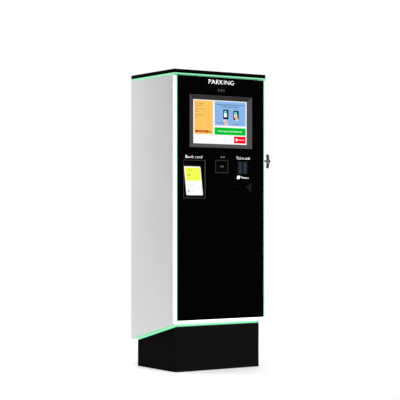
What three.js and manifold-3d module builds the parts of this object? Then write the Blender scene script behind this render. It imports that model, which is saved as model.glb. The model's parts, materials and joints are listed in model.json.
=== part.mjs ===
// A free-standing parking pay station: a sheet-metal cabinet on a recessed plinth, with a
// hinged front door that carries the screen, the readers and the bill acceptor.
// Millimetres. +X is to the right of a person who faces the door, -Y is the front, +Z is up.
// The origin is the centre of the base plate's underside, on the floor.

import * as THREE from 'three';
import { mergeVertices } from 'three/addons/utils/BufferGeometryUtils.js';
import Module from 'manifold-3d';

const wasm = await Module();
wasm.setup();

// ---------- Driving dimensions ----------

const WIDTH = 630;
const DEPTH = 470;
const HEIGHT = 1700;
const SIDE_X = WIDTH / 2;
const FRONT_Y = -DEPTH / 2;
const REAR_Y = DEPTH / 2;

const SHEET = 2;
const FIT_GAP = 0.3;
const CUT_MARGIN = 1;

const CAP_HEIGHT = 21;
const TOP_LED_HEIGHT = 11;
const BODY_TOP_Z = HEIGHT - CAP_HEIGHT - TOP_LED_HEIGHT;
const UNDERSIDE_FRONT_Z = 274;
const UNDERSIDE_SLOPE = 0.25;
const SIDE_PANEL_FRONT_Y = FRONT_Y + 22;
const INNER_X = SIDE_X - SHEET - FIT_GAP;
const INNER_REAR_Y = REAR_Y - SHEET - FIT_GAP;

const PLINTH_INSET = 28;
const PLINTH_X = SIDE_X - PLINTH_INSET;
const PLINTH_Y = REAR_Y - PLINTH_INSET;
const PLINTH_SHEET = 3;
const BASE_LED_HEIGHT = 12;
const LED_DEPTH = 12;

const DOOR_FACE_Y = FRONT_Y - 5;
const DOOR_BACK_Y = FRONT_Y + 18;
const DOOR_TOP_Z = BODY_TOP_Z - 3;
const DOOR_BOTTOM_Z = UNDERSIDE_FRONT_Z;
const DOOR_CHAMFER_X = SIDE_X - 12.5;
const DOOR_SHEET_Y = DOOR_FACE_Y + 4.4;
const DOOR_REAR_Y = DOOR_SHEET_Y + SHEET;
const RAIL_HEIGHT = 16;
const GLASS_X = SIDE_X - 19;
const GLASS_REAR_Y = DOOR_FACE_Y + 4;
const SIDE_LED_WIDTH = 6;

const HINGE_X = -303;
const HINGE_Y = -222;
const HINGE_HEIGHTS = { upper: 1500, lower: 440 };

const LOCK_Y = -201;
const LOCK_Z = 1198;

// Openings through the glass and the door sheet: [left, right, bottom, top].
const SCREEN = [-216, 216, 1265, 1562];
const CAMERA = [-30, 30, 1576, 1610];
const CARD = [-256.5, -108.5, 976.5, 1192.5];
const CONTACTLESS = [-42, 48, 1122, 1196];
const SCANNER = [113, 186, 1118, 1191];
const BILL = [77, 215, 1010, 1072];
const DOOR_OPENINGS = [SCREEN, CAMERA, CARD, CONTACTLESS, SCANNER, BILL];
const INDICATOR_RADIUS = 4;
const INDICATOR_Z = 1213.5;
const INDICATORS = { left: 1.4, right: 18 };

// ---------- Materials ----------

const material = (color, roughness, metalness = 0) =>
  new THREE.MeshStandardMaterial({ color, roughness, metalness });
const whiteCoat = () => material(0xdfe0e0, 0.5);
const blackCoat = () => material(0x0e0e10, 0.4);
const zincSteel = () => material(0xa4a9ad, 0.45, 0.8);
const ledDiffuser = () => material(0xa0fac8, 0.4);
const blackGlass = () => material(0x050506, 0.08);
const greyPlastic = () => material(0x3a3b3d, 0.55);
const blackPlastic = () => material(0x161719, 0.6);
const darkWindow = () => material(0x242b32, 0.1);
const displayGlass = () => material(0xf4f6f8, 0.15);
const aluminium = () => material(0xb9bcc0, 0.35, 0.9);
const chrome = () => material(0xd4d7da, 0.15, 1);
const handleMetal = () => material(0x26272a, 0.35, 0.7);
const sealRubber = () => material(0x121212, 0.9);

// ---------- Geometry helpers ----------

// Turns a closed geometry into a solid that can be joined and cut.
function toSolid(geometry) {
  const bare = geometry.clone();
  bare.deleteAttribute('normal');
  bare.deleteAttribute('uv');
  const merged = mergeVertices(bare, 1e-3);
  return new wasm.Manifold(new wasm.Mesh({
    numProp: 3,
    vertProperties: new Float32Array(merged.attributes.position.array),
    triVerts: new Uint32Array(merged.index.array),
  }));
}

function toGeometry(solid) {
  const mesh = solid.getMesh();
  const geometry = new THREE.BufferGeometry();
  geometry.setAttribute('position', new THREE.BufferAttribute(mesh.vertProperties, 3));
  geometry.setIndex(new THREE.BufferAttribute(mesh.triVerts, 1));
  return geometry;
}

function join(...geometries) {
  return toGeometry(geometries.map(toSolid).reduce((whole, next) => whole.add(next)));
}

function cut(geometry, ...tools) {
  return toGeometry(tools.map(toSolid).reduce((rest, tool) => rest.subtract(tool), toSolid(geometry)));
}

function block([x0, x1], [y0, y1], [z0, z1]) {
  const box = new THREE.BoxGeometry(x1 - x0, y1 - y0, z1 - z0);
  return box.translate((x0 + x1) / 2, (y0 + y1) / 2, (z0 + z1) / 2);
}

const outline = (points) => new THREE.Shape(points.map(([a, b]) => new THREE.Vector2(a, b)));

function extrude(shape, depth, curveSegments = 6) {
  return new THREE.ExtrudeGeometry(shape, { depth, bevelEnabled: false, curveSegments });
}

// An [x, y] outline carried up from z0 to z1.
function prismZ(shape, [z0, z1]) {
  return extrude(shape, z1 - z0).translate(0, 0, z0);
}

// A [y, z] outline carried along X.
function prismX(shape, [x0, x1]) {
  const geometry = extrude(shape, x1 - x0);
  geometry.rotateX(Math.PI / 2);
  geometry.rotateZ(Math.PI / 2);
  return geometry.translate(x0, 0, 0);
}

// An [x, z] outline carried along Y.
function prismY(shape, [y0, y1]) {
  return extrude(shape, y1 - y0).rotateX(Math.PI / 2).translate(0, y1, 0);
}

const rodZ = (radius, [z0, z1], segments = 16) =>
  new THREE.CylinderGeometry(radius, radius, z1 - z0, segments)
    .rotateX(Math.PI / 2).translate(0, 0, (z0 + z1) / 2);
const rodX = (radius, [x0, x1], segments = 16) =>
  rodZ(radius, [x0, x1], segments).rotateY(Math.PI / 2);
const rodY = (radius, [y0, y1], segments = 16) =>
  new THREE.CylinderGeometry(radius, radius, y1 - y0, segments).translate(0, (y0 + y1) / 2, 0);

// A rectangle [left, right, bottom, top] moved in by a margin on every side.
const inset = ([left, right, bottom, top], margin) =>
  [left + margin, right - margin, bottom + margin, top - margin];

// A block that fills a front-view rectangle between two depths.
const plate = ([left, right, bottom, top], depths) => block([left, right], depths, [bottom, top]);

// A tapered solid from one front-view rectangle to another.
function taper(front, frontY, rear, rearY) {
  const corners = ([left, right, bottom, top], y) =>
    [[left, y, bottom], [right, y, bottom], [right, y, top], [left, y, top]];
  const positions = [...corners(front, frontY), ...corners(rear, rearY)].flat();
  const quads = [[0, 1, 2, 3], [7, 6, 5, 4], [0, 4, 5, 1], [1, 5, 6, 2], [2, 6, 7, 3], [3, 7, 4, 0]];
  const geometry = new THREE.BufferGeometry();
  geometry.setAttribute('position', new THREE.Float32BufferAttribute(positions, 3));
  geometry.setIndex(quads.flatMap(([a, b, c, d]) => [a, b, c, a, c, d]));
  return geometry;
}

function rectangle(halfX, halfY) {
  return outline([[-halfX, -halfY], [halfX, -halfY], [halfX, halfY], [-halfX, halfY]]);
}

// A rectangular ring centred on the Z axis.
function ring(halfX, halfY, wall) {
  const shape = rectangle(halfX, halfY);
  shape.holes.push(rectangle(halfX - wall, halfY - wall));
  return shape;
}

// A rounded rectangle around a centre.
function roundedRectangle(halfWidth, halfHeight, radius) {
  const shape = new THREE.Shape();
  const quarter = Math.PI / 2;
  shape.absarc(halfWidth - radius, halfHeight - radius, radius, 0, quarter);
  shape.absarc(radius - halfWidth, halfHeight - radius, radius, quarter, 2 * quarter);
  shape.absarc(radius - halfWidth, radius - halfHeight, radius, 2 * quarter, 3 * quarter);
  shape.absarc(halfWidth - radius, radius - halfHeight, radius, 3 * quarter, 4 * quarter);
  return shape;
}

// The height of the sloping underside at a depth y.
const undersideZ = (y) => UNDERSIDE_FRONT_Z - UNDERSIDE_SLOPE * (y - FRONT_Y);

// A plan outline carried between two heights, each a function of the depth y.
function between(shape, bottomAt, topAt) {
  const geometry = extrude(shape, 1);
  const position = geometry.attributes.position;
  for (let i = 0; i < position.count; i += 1) {
    const y = position.getY(i);
    position.setZ(i, position.getZ(i) > 0.5 ? topAt(y) : bottomAt(y));
  }
  return geometry;
}

function part(name, geometry, finish) {
  const mesh = new THREE.Mesh(geometry, finish);
  mesh.name = name;
  return mesh;
}

function group(position, ...children) {
  const assembly = new THREE.Group();
  assembly.position.set(...position);
  assembly.add(...children);
  return assembly;
}

// ---------- Plinth ----------

const BASE_THICKNESS = 8;
const ANCHOR_RADIUS = 9;
const ANCHORS_X = 240;
const ANCHORS_Y = 160;
const CABLE_HOLE = { halfX: 60, front: 70, rear: 150 };
const plinthTopZ = (y) => undersideZ(y) - BASE_LED_HEIGHT;

function basePlate() {
  const halfX = PLINTH_X - PLINTH_SHEET - FIT_GAP;
  const halfY = PLINTH_Y - PLINTH_SHEET - FIT_GAP;
  const shape = rectangle(halfX, halfY);
  for (const x of [-ANCHORS_X, ANCHORS_X]) {
    for (const y of [-ANCHORS_Y, ANCHORS_Y]) {
      shape.holes.push(new THREE.Path().absarc(x, y, ANCHOR_RADIUS, 0, 2 * Math.PI));
    }
  }
  const { halfX: cableX, front, rear } = CABLE_HOLE;
  shape.holes.push(outline([[-cableX, front], [cableX, front], [cableX, rear], [-cableX, rear]]));
  return part('base_plate', prismZ(shape, [0, BASE_THICKNESS]), zincSteel());
}

// Four walls with a flange turned inward along their sloping top edge.
function plinthShell() {
  const flangeWidth = 28;
  const walls = between(ring(PLINTH_X, PLINTH_Y, PLINTH_SHEET), () => 0, plinthTopZ);
  const flange = between(
    ring(PLINTH_X, PLINTH_Y, flangeWidth), (y) => plinthTopZ(y) - PLINTH_SHEET, plinthTopZ);
  return part('plinth_shell', join(walls, flange), blackCoat());
}

function baseLedStrip() {
  const strip = between(
    ring(PLINTH_X, PLINTH_Y, LED_DEPTH),
    (y) => plinthTopZ(y) + FIT_GAP, (y) => undersideZ(y) - FIT_GAP);
  return part('base_led_strip', strip, ledDiffuser());
}

// ---------- Cabinet shell ----------

const GLAND = { x: -120, y: 110, holeRadius: 16 };
const VENT = { rows: 7, pitch: 14, slotHeight: 6, slotWidth: 180, bottomZ: 330, centreX: 110 };
const FAN = { z: 1480, halfSize: 60, boreRadius: 57, cutRadius: 54, depth: 25 };

// The sloping floor, with a rim that stands on the plinth's flange inside the light strip.
function floorPan() {
  const shape = outline([
    [-INNER_X, SIDE_PANEL_FRONT_Y], [INNER_X, SIDE_PANEL_FRONT_Y],
    [INNER_X, INNER_REAR_Y], [-INNER_X, INNER_REAR_Y]]);
  shape.holes.push(new THREE.Path().absarc(GLAND.x, GLAND.y, GLAND.holeRadius, 0, 2 * Math.PI));
  const floor = between(shape, undersideZ, (y) => undersideZ(y) + SHEET);
  const rim = between(
    ring(PLINTH_X - LED_DEPTH - FIT_GAP, PLINTH_Y - LED_DEPTH - FIT_GAP, PLINTH_SHEET),
    (y) => plinthTopZ(y) + FIT_GAP, (y) => undersideZ(y) + SHEET / 2);
  return part('floor_pan', join(floor, rim), zincSteel());
}

// The cable gland stands square on the sloping floor.
function cableGland() {
  const profile = [[10, -18], [15, -18], [15, 2.5], [22, 2.5], [22, 12], [17, 16], [14, 26], [10, 26]];
  const points = [...profile, profile[0]].map(([r, h]) => new THREE.Vector2(r, h));
  const body = new THREE.LatheGeometry(points, 12).rotateX(Math.PI / 2);
  const place = [GLAND.x, GLAND.y, undersideZ(GLAND.y)];
  const assembly = group(place, part('cable_gland', body, blackPlastic()));
  assembly.rotation.x = -Math.atan(UNDERSIDE_SLOPE);
  return assembly;
}

function sidePanel(side) {
  const shape = outline([
    [SIDE_PANEL_FRONT_Y, undersideZ(SIDE_PANEL_FRONT_Y)], [REAR_Y, undersideZ(REAR_Y)],
    [REAR_Y, BODY_TOP_Z], [SIDE_PANEL_FRONT_Y, BODY_TOP_Z]]);
  if (side === 'left') {
    return part('side_panel_left', prismX(shape, [-SIDE_X, SHEET - SIDE_X]), whiteCoat());
  }
  const lockHoleRadius = 11;
  shape.holes.push(new THREE.Path().absarc(LOCK_Y, LOCK_Z, lockHoleRadius, 0, 2 * Math.PI));
  return part('side_panel_right', prismX(shape, [SIDE_X - SHEET, SIDE_X]), whiteCoat());
}

// The rear wall has two columns of air slots low down and the fan's outlet high up.
function rearPanel() {
  const rect = [-INNER_X, INNER_X, undersideZ(REAR_Y - SHEET), BODY_TOP_Z];
  const throughDepth = [REAR_Y - SHEET - CUT_MARGIN, REAR_Y + CUT_MARGIN];
  const slots = [-VENT.centreX, VENT.centreX].flatMap((centre) =>
    Array.from({ length: VENT.rows }, (_, row) => {
      const low = VENT.bottomZ + row * VENT.pitch;
      const half = VENT.slotWidth / 2;
      return plate([centre - half, centre + half, low, low + VENT.slotHeight], throughDepth);
    }));
  const fanOutlet = rodY(FAN.cutRadius, throughDepth, 28).translate(0, 0, FAN.z);
  const wall = plate(rect, [REAR_Y - SHEET, REAR_Y]);
  return part('rear_panel', cut(wall, ...slots, fanOutlet), whiteCoat());
}

function roofPlate() {
  const roof = block(
    [-INNER_X, INNER_X], [SIDE_PANEL_FRONT_Y, INNER_REAR_Y], [BODY_TOP_Z - SHEET, BODY_TOP_Z]);
  return part('roof_plate', roof, zincSteel());
}

function topLedStrip() {
  const strip = prismZ(
    ring(SIDE_X, REAR_Y, LED_DEPTH),
    [BODY_TOP_Z + FIT_GAP, BODY_TOP_Z + TOP_LED_HEIGHT - FIT_GAP]);
  return part('top_led_strip', strip, ledDiffuser());
}

// A shallow pan with a flange under its skirt; four feet stand on the roof plate.
function topCap() {
  const skirtBottom = HEIGHT - CAP_HEIGHT;
  const flangeWidth = 14;
  const footHalf = 15;
  const footX = 270;
  const footY = 185;
  const top = block([-SIDE_X, SIDE_X], [FRONT_Y, REAR_Y], [HEIGHT - SHEET, HEIGHT]);
  const skirt = prismZ(ring(SIDE_X, REAR_Y, SHEET), [skirtBottom, HEIGHT]);
  const flange = prismZ(ring(SIDE_X, REAR_Y, flangeWidth), [skirtBottom, skirtBottom + SHEET]);
  const feet = [-footX, footX].flatMap((x) => [-footY, footY].map((y) => block(
    [x - footHalf, x + footHalf], [y - footHalf, y + footHalf],
    [BODY_TOP_Z + FIT_GAP, HEIGHT - SHEET / 2])));
  return part('top_cap', join(top, skirt, flange, ...feet), blackCoat());
}

// ---------- Door frame of the cabinet ----------

// The folded section steps forward from the outer flange to the face that the door seals on.
const FRAME = { flangeY: -206, faceY: -222, backY: -190, webX: 288, mouthX: 268 };
const SILL = { flangeZ: 273, webZ: 300, mouthZ: 320 };
const HEADER = { flangeZ: BODY_TOP_Z - SHEET - FIT_GAP, webZ: 1645, mouthZ: 1625 };
const CAM_SLOT = { left: 291, bottom: LOCK_Z - 12, top: LOCK_Z + 34 };
const DOOR_SWITCH = { x: 298, z: 1500, plungerRadius: 3 };

// The [across, depth] points of the folded section, from the flange's outer edge inward.
function foldedSection(outer, web, mouth) {
  const inward = Math.sign(mouth - outer);
  return [
    [outer, FRAME.flangeY], [web, FRAME.flangeY], [web, FRAME.faceY], [mouth, FRAME.faceY],
    [mouth, FRAME.backY], [mouth - inward * SHEET, FRAME.backY],
    [mouth - inward * SHEET, FRAME.faceY + SHEET], [web + inward * SHEET, FRAME.faceY + SHEET],
    [web + inward * SHEET, FRAME.flangeY + SHEET], [outer, FRAME.flangeY + SHEET]];
}

function doorPost(side) {
  const sign = side === 'left' ? -1 : 1;
  const section = foldedSection(sign * INNER_X, sign * FRAME.webX, sign * FRAME.mouthX);
  const post = prismZ(outline(section), [SILL.flangeZ, HEADER.flangeZ]);
  if (side === 'left') {
    return part('door_post_left', post, zincSteel());
  }
  const flangeDepth = [FRAME.flangeY - CUT_MARGIN, FRAME.flangeY + SHEET + CUT_MARGIN];
  const camSlot = block(
    [CAM_SLOT.left, INNER_X + CUT_MARGIN], flangeDepth, [CAM_SLOT.bottom, CAM_SLOT.top]);
  const switchHole = rodY(DOOR_SWITCH.plungerRadius + 1.5, flangeDepth, 12)
    .translate(DOOR_SWITCH.x, 0, DOOR_SWITCH.z);
  return part('door_post_right', cut(post, camSlot, switchHole), zincSteel());
}

// The header and the sill close the frame between the two posts.
function doorCrossbar(name, { flangeZ, webZ, mouthZ }) {
  const section = foldedSection(flangeZ, webZ, mouthZ).map(([z, y]) => [y, z]);
  const reach = FRAME.mouthX - FIT_GAP;
  return part(name, prismX(outline(section), [-reach, reach]), zincSteel());
}

function doorSeal() {
  const outerX = FRAME.webX - 2;
  const innerX = FRAME.mouthX + 2;
  const shape = outline([
    [-outerX, SILL.webZ + 2], [outerX, SILL.webZ + 2],
    [outerX, HEADER.webZ - 2], [-outerX, HEADER.webZ - 2]]);
  shape.holes.push(outline([
    [-innerX, SILL.mouthZ - 2], [innerX, SILL.mouthZ - 2],
    [innerX, HEADER.mouthZ + 2], [-innerX, HEADER.mouthZ + 2]]));
  const depths = [DOOR_REAR_Y + FIT_GAP, FRAME.faceY - FIT_GAP];
  return part('door_seal', prismY(shape, depths), sealRubber());
}

// ---------- Hinges ----------

const KNUCKLE_RADIUS = 4.5;
const PIN_RADIUS = 2.5;
const BRACKET_HALF = 15;
const LEAF_HALF = 40;

// The cabinet's half: a barrel on a short arm from the post's web.
function hingeBracket(level) {
  const barrel = rodZ(KNUCKLE_RADIUS, [-BRACKET_HALF, BRACKET_HALF]);
  const reach = -FRAME.webX - FIT_GAP - HINGE_X;
  const arm = block([0, reach], [-2.5, 2.5], [-BRACKET_HALF, BRACKET_HALF]);
  const foot = block([reach - SHEET, reach], [-2.5, 14], [-LEAF_HALF, LEAF_HALF]);
  const bore = rodZ(PIN_RADIUS + 0.4, [-BRACKET_HALF - CUT_MARGIN, BRACKET_HALF + CUT_MARGIN]);
  return group([HINGE_X, HINGE_Y, HINGE_HEIGHTS[level]],
    part(`hinge_bracket_${level}`, cut(join(barrel, arm, foot), bore), zincSteel()));
}

// The door's half: a leaf on the door sheet with two barrels and the pin.
function hingeLeaf(level) {
  const sheetY = DOOR_REAR_Y + FIT_GAP - HINGE_Y;
  const leafThickness = 2.5;
  const innerEnd = BRACKET_HALF + 0.5;
  const spans = [[-LEAF_HALF, -innerEnd], [innerEnd, LEAF_HALF]];
  const barrels = spans.map((span) => rodZ(KNUCKLE_RADIUS, span));
  const webs = spans.map((span) => block([0, KNUCKLE_RADIUS], [sheetY, 0], span));
  const leaf = block([0, 14], [sheetY, sheetY + leafThickness], [-LEAF_HALF, LEAF_HALF]);
  const pin = rodZ(PIN_RADIUS, [-LEAF_HALF, LEAF_HALF]);
  return group([HINGE_X, HINGE_Y, HINGE_HEIGHTS[level]],
    part(`hinge_leaf_${level}`, join(leaf, ...webs, ...barrels, pin), zincSteel()));
}

// ---------- Lock and handle ----------

const SHAFT_RADIUS = 7;
const PLUG_RADIUS = 7;
const BORE_CLEARANCE = 0.4;
const HANDLE = {
  reach: 52, halfLength: 41, thickness: 13, width: 12, sweep: 6,
  bossRadius: 11, neckRadius: 7, plugDepth: 12 };
const CAM = { left: 293, right: 298, reach: 28, hook: 5, arm: [2, 8], hookTip: -5 };

// Every lock piece is modelled around the shaft's axis.
const lockGroup = (...children) => group([0, LOCK_Y, LOCK_Z], ...children);

function handleEscutcheon() {
  const neckRadius = 10.5;
  const plateFront = SIDE_X + 7;
  const shape = roundedRectangle(12, 33, 8);
  const cover = prismX(shape, [SIDE_X + FIT_GAP, plateFront]);
  const neck = rodX(neckRadius, [SIDE_X - 15, SIDE_X + SHEET], 20);
  const bore = rodX(SHAFT_RADIUS + BORE_CLEARANCE, [SIDE_X - 16, plateFront + CUT_MARGIN], 20);
  return lockGroup(part('handle_escutcheon', cut(join(cover, neck), bore), blackPlastic()));
}

// The grip's two wings sweep back slightly towards the cabinet from the boss in the middle.
function handleGrip() {
  const outer = SIDE_X + HANDLE.reach - 3;
  const inner = outer - HANDLE.width;
  const tip = [outer - HANDLE.sweep, HANDLE.halfLength];
  const tipInner = [tip[0] - HANDLE.width + 2, HANDLE.halfLength - 2];
  const shape = new THREE.Shape();
  shape.moveTo(tip[0], -tip[1]);
  shape.quadraticCurveTo(outer, -tip[1] * 0.5, outer, 0);
  shape.quadraticCurveTo(outer, tip[1] * 0.5, ...tip);
  shape.lineTo(...tipInner);
  shape.quadraticCurveTo(inner, tip[1] * 0.5, inner, 0);
  shape.quadraticCurveTo(inner, -tip[1] * 0.5, tipInner[0], -tipInner[1]);
  const bar = extrude(shape, HANDLE.thickness, 5).rotateX(Math.PI / 2);
  return bar.translate(0, HANDLE.thickness / 2, 0);
}

function tHandle() {
  const bossEnd = SIDE_X + HANDLE.reach;
  const plugEnd = bossEnd - HANDLE.plugDepth;
  const shaft = rodX(SHAFT_RADIUS, [SIDE_X - 24, SIDE_X + 10], 20);
  const neck = rodX(HANDLE.neckRadius, [SIDE_X + 7.5, plugEnd], 20);
  const boss = rodX(HANDLE.bossRadius, [plugEnd - 2.5, bossEnd], 20);
  const plugBore = rodX(PLUG_RADIUS + BORE_CLEARANCE, [plugEnd, bossEnd + CUT_MARGIN], 20);
  const handle = cut(join(shaft, neck, boss, handleGrip()), plugBore);
  return lockGroup(part('t_handle', handle, handleMetal()));
}

function lockPlug() {
  const face = SIDE_X + HANDLE.reach + 2;
  const plug = rodX(PLUG_RADIUS, [face - HANDLE.plugDepth - 1, face], 20);
  const keySlot = block([face - 8, face + CUT_MARGIN], [-0.8, 0.8], [-4, 4]);
  return lockGroup(part('lock_plug', cut(plug, keySlot), chrome()));
}

// The cam points up when released. A quarter turn brings its hook down in front of the keeper.
function lockCam() {
  const span = [CAM.left, CAM.right];
  const hub = rodX(SHAFT_RADIUS + 3.5, span, 20);
  const arm = block(span, CAM.arm, [0, CAM.reach]);
  const hook = block(span, [CAM.hookTip, CAM.arm[1]], [CAM.reach - CAM.hook, CAM.reach]);
  const bore = rodX(
    SHAFT_RADIUS + BORE_CLEARANCE, [CAM.left - CUT_MARGIN, CAM.right + CUT_MARGIN], 20);
  return lockGroup(part('lock_cam', cut(join(hub, arm, hook), bore), zincSteel()));
}

// The keeper's round bar is held between two cheeks on the back of the door.
function lockKeeper() {
  const bar = { y: -17, z: -4, radius: 2.5 };
  const cheeks = [[289.5, 292], [299, 301.5]];
  const sheetY = DOOR_REAR_Y + FIT_GAP - LOCK_Y;
  const plates = cheeks.map((span) => block(span, [sheetY, bar.y + 5], [-12, 2]));
  const foot = block([cheeks[0][0], cheeks[1][1]], [sheetY, sheetY + 1.5], [-26, 16]);
  const rod = rodX(bar.radius, [cheeks[0][0] + 1, cheeks[1][1] - 1], 12).translate(0, bar.y, bar.z);
  return lockGroup(part('lock_keeper', join(foot, ...plates, rod), zincSteel()));
}

// ---------- Door ----------

// Cuts every device opening and lamp hole through a layer of the door.
function doorCutters([front, rear]) {
  const depths = [front - CUT_MARGIN, rear + CUT_MARGIN];
  const openings = DOOR_OPENINGS.map((rect) => plate(rect, depths));
  const lampHoles = Object.values(INDICATORS).map((x) =>
    rodY(INDICATOR_RADIUS, depths, 12).translate(x, 0, INDICATOR_Z));
  return [...openings, ...lampHoles];
}

// The flat sheet that carries every device and lies behind the glass.
function doorPanel() {
  const halfWidth = DOOR_CHAMFER_X;
  const bottom = DOOR_BOTTOM_Z + RAIL_HEIGHT + FIT_GAP;
  const sheet = plate([-halfWidth, halfWidth, bottom, DOOR_TOP_Z], [DOOR_SHEET_Y, DOOR_REAR_Y]);
  return part('door_panel', cut(sheet, ...doorCutters([DOOR_SHEET_Y, DOOR_REAR_Y])), zincSteel());
}

// The U-shaped edge of the door: a chamfered wall on each side and a rail along the bottom.
function doorTrim() {
  const noseX = DOOR_CHAMFER_X + FIT_GAP;
  const wall = [
    [SIDE_X, DOOR_BACK_Y], [noseX, DOOR_FACE_Y], [noseX, DOOR_REAR_Y],
    [DOOR_CHAMFER_X + 1.1, DOOR_REAR_Y], [SIDE_X - 2.6, DOOR_BACK_Y]];
  const walls = [1, -1].map((sign) => prismZ(
    outline(wall.map(([x, y]) => [sign * x, y])), [DOOR_BOTTOM_Z, DOOR_TOP_Z]));
  const rail = block(
    [-noseX, noseX], [DOOR_FACE_Y, DOOR_REAR_Y], [DOOR_BOTTOM_Z, DOOR_BOTTOM_Z + RAIL_HEIGHT]);
  const foldBackX = SIDE_X - 6;
  const foldBackY = FRAME.faceY - 1.5;
  const fold = prismZ(outline([
    [-foldBackX, foldBackY], [-noseX, DOOR_REAR_Y - 1],
    [noseX, DOOR_REAR_Y - 1], [foldBackX, foldBackY]]), [DOOR_BOTTOM_Z, DOOR_BOTTOM_Z + SHEET]);
  return part('door_trim', join(...walls, rail, fold), whiteCoat());
}

// The glossy front covers the whole door between the light strips.
function frontGlass() {
  const rect = [-GLASS_X, GLASS_X, DOOR_BOTTOM_Z + RAIL_HEIGHT + FIT_GAP, DOOR_TOP_Z];
  const pane = plate(rect, [DOOR_FACE_Y, GLASS_REAR_Y]);
  return part('front_glass', cut(pane, ...doorCutters([DOOR_FACE_Y, GLASS_REAR_Y])), blackGlass());
}

function sideLed(side) {
  const inner = GLASS_X + FIT_GAP;
  const span = [inner, inner + SIDE_LED_WIDTH];
  const bottom = DOOR_BOTTOM_Z + RAIL_HEIGHT + FIT_GAP;
  const strip = block(side === 'left' ? [-span[1], -span[0]] : span,
    [DOOR_FACE_Y, GLASS_REAR_Y], [bottom, DOOR_TOP_Z]);
  return part(`side_led_${side}`, strip, ledDiffuser());
}

// ---------- Screen and camera ----------

const DISPLAY = [-184, 184, 1288, 1536];
const SCREEN_RECESS = 11;

// A sloping surround leads from the glass down to the display.
function screenBezel() {
  const rim = 2;
  const rear = DOOR_FACE_Y + SCREEN_RECESS;
  const body = plate(inset(SCREEN, FIT_GAP), [DOOR_FACE_Y, rear]);
  const funnel = taper(inset(SCREEN, rim), DOOR_FACE_Y, DISPLAY, rear);
  const lead = plate(inset(SCREEN, rim), [DOOR_FACE_Y - CUT_MARGIN, DOOR_FACE_Y + FIT_GAP]);
  const exit = plate(DISPLAY, [rear - CUT_MARGIN, rear + CUT_MARGIN]);
  return part('screen_bezel', cut(body, funnel, lead, exit), greyPlastic());
}

function touchDisplay() {
  const front = DOOR_FACE_Y + SCREEN_RECESS + FIT_GAP;
  return part('touch_display', plate(inset(DISPLAY, -11), [front, front + 6]), displayGlass());
}

// The chassis is held on the door sheet by four ears.
function monitorChassis() {
  const front = DOOR_FACE_Y + SCREEN_RECESS + 6 + 2 * FIT_GAP;
  const shoulder = front + 22;
  const outlineRect = inset(DISPLAY, -16);
  const body = plate(outlineRect, [front, shoulder]);
  const back = taper(outlineRect, shoulder - 0.1, inset(DISPLAY, 30), shoulder + 14);
  const earX = [inset(DISPLAY, -16)[1] - 5, SCREEN[1] + 24];
  const earHeights = [DISPLAY[2] + 30, DISPLAY[3] - 60];
  const ears = [-1, 1].flatMap((side) => earHeights.flatMap((low) => {
    const span = earX.map((x) => side * x).sort((a, b) => a - b);
    const foot = [SCREEN[1] + 6, SCREEN[1] + 24].map((x) => side * x).sort((a, b) => a - b);
    const heights = [low, low + 30];
    return [
      block(span, [front + 4, front + 6.5], heights),
      block(foot, [DOOR_REAR_Y + FIT_GAP, front + 5], heights)];
  }));
  return part('monitor_chassis', join(body, back, ...ears), blackPlastic());
}

function cameraWindow() {
  const depths = [DOOR_FACE_Y + 1, DOOR_FACE_Y + 3.5];
  return part('camera_window', plate(inset(CAMERA, FIT_GAP), depths), darkWindow());
}

function cameraModule() {
  const bodyFront = DOOR_REAR_Y + 4;
  const centreZ = (CAMERA[2] + CAMERA[3]) / 2;
  const body = plate(inset(CAMERA, 2), [bodyFront, bodyFront + 24]);
  const barrel = rodY(10, [DOOR_FACE_Y + 4, bodyFront + 1], 20).translate(0, 0, centreZ);
  return part('camera_module', join(body, barrel), blackPlastic());
}

// ---------- Card reader ----------

const RECESS_DEPTH = 70;
const TERMINAL = { x: -181, z: 994.5, tilt: 9.4, width: 124, depth: 34, top: 176, bottom: -8 };
const TERMINAL_SCREEN = { width: 110, height: 165, radius: 7, thickness: 1.2 };

function cardReaderRecess() {
  const rear = DOOR_FACE_Y + RECESS_DEPTH;
  const shell = plate(inset(CARD, FIT_GAP), [DOOR_FACE_Y, rear]);
  const hollow = plate(inset(CARD, FIT_GAP + SHEET), [DOOR_FACE_Y - CUT_MARGIN, rear - SHEET]);
  return part('card_reader_recess', cut(shell, hollow), greyPlastic());
}

// The terminal leans back in its recess, with its lower edge level with the door's face.
function cardTerminal() {
  const { width, depth, top, bottom } = TERMINAL;
  const bodyFront = TERMINAL_SCREEN.thickness + FIT_GAP;
  const half = width / 2;
  const middle = (top + bottom) / 2;
  const shape = roundedRectangle(half, (top - bottom) / 2, 9);
  const body = prismY(shape, [bodyFront, depth]).translate(0, 0, middle);
  const mount = block([-30, 30], [depth - CUT_MARGIN, depth + 15], [60, 100]);
  const screenShape = roundedRectangle(
    TERMINAL_SCREEN.width / 2, TERMINAL_SCREEN.height / 2, TERMINAL_SCREEN.radius);
  const screen = prismY(screenShape, [0, TERMINAL_SCREEN.thickness])
    .translate(0, 0, TERMINAL_SCREEN.height / 2);
  const assembly = group([TERMINAL.x, DOOR_FACE_Y, TERMINAL.z],
    part('card_terminal_body', join(body, mount), blackPlastic()),
    part('card_terminal_display', screen, displayGlass()));
  assembly.rotation.x = -THREE.MathUtils.degToRad(TERMINAL.tilt);
  return assembly;
}

// ---------- Contactless reader, indicators and scanner ----------

function contactlessReader() {
  const wall = 4.5;
  const raised = 1;
  const outer = inset(CONTACTLESS, FIT_GAP);
  const frame = cut(
    plate(outer, [DOOR_FACE_Y - raised, DOOR_FACE_Y + 9]),
    plate(inset(outer, wall), [DOOR_FACE_Y - raised - CUT_MARGIN, DOOR_FACE_Y + 10]));
  const pad = plate(inset(outer, wall + FIT_GAP), [DOOR_FACE_Y + 1.5, DOOR_FACE_Y + 18]);
  return [
    part('contactless_reader_frame', frame, greyPlastic()),
    part('contactless_reader_pad', pad, blackPlastic())];
}

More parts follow.
